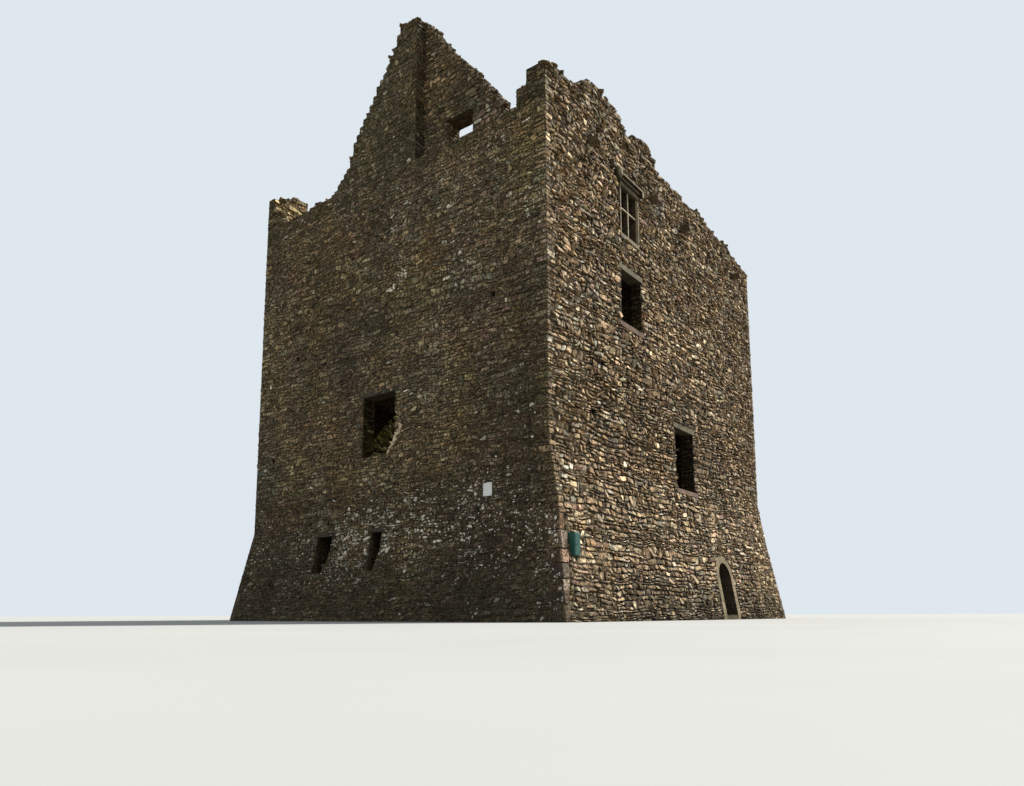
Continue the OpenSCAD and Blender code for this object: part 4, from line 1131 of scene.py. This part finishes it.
def dressed_material(name, tint, sunlit_tint=None):
    """Tooled sandstone, weathered: darker in its hollows and lighter on its edges, partly crust and wear
    and partly painted shade and painted highlight; and painted to a lighter tint where it faces out of the
    right wall: painted sunlight."""
    m = Material(name)
    shape = m.add("NewGeometry")
    if sunlit_tint is not None:
        facing = m.put(m.add("SeparateXYZ"), Vector=(shape, "Normal"))
        # Faces turned out of the right wall take the lighter tint: painted sunlight
        tint = m.mix(m.ramp((facing, "X"), [(0.3, 0.0), (0.75, 1.0)]), tint, sunlit_tint)
    broad = m.noise(3.5, 6, 0.65)
    grit = (m.noise(75, 6, 0.7), "Fac")
    bed = (m.noise(6, 5, 0.6, (1, 1, 7)), "Fac")
    c = m.shade(tint, (broad, "Fac"), [(0.3, 0.5), (0.52, 1.0), (0.72, 1.35)])
    c = m.shade(c, grit, [(0.35, 0.5), (0.7, 1.45)], 0.65)
    c = m.shade(c, bed, [(0.4, 0.65), (0.62, 1.2)], 0.45)
    c = m.mix(0.1, c, (broad, "Color"), "OVERLAY")
    # Darker in hollows, lighter on edges: painted shade and painted highlight, with crust and wear
    c = m.shade(c, (shape, "Pointiness"), [(0.46, 0.6), (0.5, 1.0), (0.56, 1.5)], 0.8)
    c = m.mix(m.ramp((m.noise(9, 6, 0.7), "Fac"), [(0.6, 0.0), (0.66, 0.55)]), c, OLD_CRUST)
    normal = m.bump(grit, 0.8, 0.005, m.bump((broad, "Fac"), 0.7, 0.014))
    return m.finish(c, m.ramp(grit, [(0.3, 0.75), (0.7, 0.95)]), 0.25, normal)


def paint_material(name, tint, wear):
    """Painted metal with a soft sheen, dulled and chipped by weather."""
    m = Material(name)
    broad = (m.noise(5, 5, 0.6), "Fac")
    chip = (m.noise(26, 6, 0.7), "Fac")
    c = m.shade(tint, broad, [(0.3, 0.82), (0.7, 1.12)])
    c = m.mix(m.ramp(chip, [(0.66, 0.0), (0.72, 0.7)]), c, wear)
    return m.finish(c, m.ramp(broad, [(0.3, 0.35), (0.7, 0.6)]), 0.5, m.bump(chip, 0.25, 0.002))


def floor_material(name, seen, shed):
    """A plain floor, pale to the eye, that sheds no more light on the walls than open ground would."""
    m = Material(name)
    soft = (m.noise(0.35, 3, 0.5), "Fac")
    c = m.shade(m.mix(m.seen(), shed, seen), soft, [(0.2, 0.96), (0.8, 1.04)])
    return m.finish(c, 0.9, 0.1, m.bump(soft, 0.05, 0.002))


rubble_mat = stone_material("rubble_stone", 0.075, 0.3, 1.6, 0.08)
front_mat = stone_material("rubble_front", 0.06, 0.12, 2.0, 0.4)
dank_mat = stone_material("rubble_dank", 0.075, 0.3, 1.6, 0.08, 0.0)
# For the torn jamb's stones: little mottle and light joints, which keep their painted sunlight even
torn_mat = stone_material("rubble_torn", 0.03, 0.8, 1.1, 0.6)
core = core_material("rubble_core", srgb(88, 77, 58), srgb(68, 59, 43))
# The right face's core: near-black mortar and pins, painted shade for the deep shadows in that face's
# joints
core_warm = core_material("rubble_core_right", srgb(38, 31, 21), srgb(13, 10, 7))
core_head = core_material("rubble_core_head", srgb(66, 56, 41), srgb(42, 35, 25))
# The second tint is the one where the stone faces out of the right wall: painted sunlight
dressed = dressed_material("dressed_sandstone", srgb(56, 46, 34), srgb(112, 101, 80))
# Head stones under the hood, darker than the jambs, most where they face out of the right wall: painted
# shade of the hood
head_mat = dressed_material("window_head_stone", srgb(50, 44, 34), srgb(66, 58, 45))
bar_mat = dressed_material("bar_stone", srgb(62, 53, 41), srgb(178, 170, 148))
hood_mat = dressed_material("hood_stone", srgb(56, 50, 38), srgb(142, 132, 108))
lintel_mat = dressed_material("lintel_stone", srgb(60, 54, 41), srgb(84, 78, 60))
loop_mat = dressed_material("loop_stone", srgb(50, 44, 34))
sill_mat = dressed_material("sill_stone", srgb(88, 70, 57))
spout_mat = dressed_material("spout_stone", srgb(74, 62, 46))
white = paint_material("white_enamel", srgb(226, 230, 230), srgb(150, 140, 120))
green = paint_material("green_paint", srgb(28, 80, 72), srgb(60, 52, 44))
iron = paint_material("dark_iron", srgb(46, 44, 42), srgb(84, 58, 40))

NODE_MATERIALS = {"hood_mould": hood_mat, "window_sills": sill_mat, "loop_lintels": loop_mat,
                  "window_lintels": lintel_mat, "notice_plate": white, "wall_box": green,
                  "right_parapet": core_head}


def node_material(name):
    """Material of a CAD node: its own, or that of its kind."""
    # Other CAD nodes of the right walls take the core with painted shade in its joints
    kind = spout_mat if name in DRESSED else core_warm if name.startswith("right_") else core
    return NODE_MATERIALS.get(name, kind)


for name, ob in nodes.items():
    ob.data.materials.clear()
    ob.data.materials.append(node_material(name))
for name, ob in pieces.items():
    kind = front_mat if name.startswith(("front", "near")) else rubble_mat
    ob.data.materials.append({"reveals": dank_mat, "torn": torn_mat}.get(name, kind))
for name, ob in dressed_pieces.items():
    ob.data.materials.append({"mullion": bar_mat, "transom": bar_mat, "rolls": hood_mat}.get(name, dressed))
for name, ob in fitting_pieces.items():
    ob.data.materials.append(green if name == "box_door" else iron)
# The frame's stones above the lights take the head material: painted shade under the hood
frame_mesh = dressed_pieces["window_frame"].data
frame_mesh.materials.append(head_mat)
for poly in frame_mesh.polygons:
    poly.material_index = int(poly.center.z > light_high + 0.004)

# Stage and light
FLOOR_HALF = 300
FLOOR_SEEN, FLOOR_SHED = (0.3, 0.31, 0.31), (0.15, 0.14, 0.11)
SUN_FROM = (0.275, 0.565, 0.778)
me = bpy.data.meshes.new("floor")
me.from_pydata([(x * FLOOR_HALF, y * FLOOR_HALF, 0) for x, y in ((-1, -1), (1, -1), (1, 1), (-1, 1))], [],
               [(0, 1, 2, 3)])
floor = bpy.data.objects.new("floor", me)
floor.location.z = -0.002
bpy.context.scene.collection.objects.link(floor)
floor.data.materials.append(floor_material("pale_floor", FLOOR_SEEN, FLOOR_SHED))

sun = bpy.data.lights.new("key", "SUN")
sun.energy = 8.0
sun.angle = math.radians(1.2)
sun.color = (1.0, 0.95, 0.86)
key = bpy.data.objects.new("key", sun)
key.rotation_euler = Vector(SUN_FROM).to_track_quat("Z", "Y").to_euler()
bpy.context.scene.collection.objects.link(key)

world = bpy.data.worlds.new("world")
bpy.context.scene.world = world
world.use_nodes = True
sky = NodeTree(world.node_tree)
fill = sky.put(sky.add("Background"), Color=(0.94, 0.97, 1.0), Strength=0.75)
pale = sky.put(sky.add("Background"), Color=(0.74, 0.8, 0.86), Strength=1.0)
blend = sky.add("MixShader")
for socket, source in zip(blend.inputs, (sky.seen(), (fill, 0), (pale, 0))):
    sky.feed(socket, source)
sky.put(sky.add("OutputWorld"), Surface=(blend, 0))

# Camera, fitted to the photograph: its size, focal length and axis in pixels, and the place of the eye
PHOTO_WIDTH, PHOTO_HEIGHT = 1024, 786
FOCAL = 753.1
AXIS_ROW = 508.8
SENSOR = 36
YAW, PITCH, ROLL = math.radians(36.94), math.radians(8.0), math.radians(-0.16)
EYE = (FACE_RIGHT + 10.1532, FACE_FRONT - 14.9892, 0.18)
cam_data = bpy.data.cameras.new("camera")
cam_data.sensor_fit = "HORIZONTAL"
cam_data.sensor_width = SENSOR
cam_data.lens = SENSOR * FOCAL / PHOTO_WIDTH
cam_data.shift_y = (AXIS_ROW - PHOTO_HEIGHT / 2) / PHOTO_WIDTH
cam_data.clip_end = 1000
ahead = Vector((-math.sin(YAW) * math.cos(PITCH), math.cos(YAW) * math.cos(PITCH), math.sin(PITCH)))
side = Vector((math.cos(YAW), math.sin(YAW), 0))
up = side.cross(ahead)
side, up = side * math.cos(ROLL) + up * math.sin(ROLL), up * math.cos(ROLL) - side * math.sin(ROLL)
cam = bpy.data.objects.new("camera", cam_data)
cam.matrix_world = Matrix([(side[i], up[i], -ahead[i], EYE[i]) for i in range(3)] + [(0, 0, 0, 1)])
bpy.context.scene.collection.objects.link(cam)
bpy.context.scene.camera = cam
bpy.context.scene.view_settings.view_transform = "Standard"
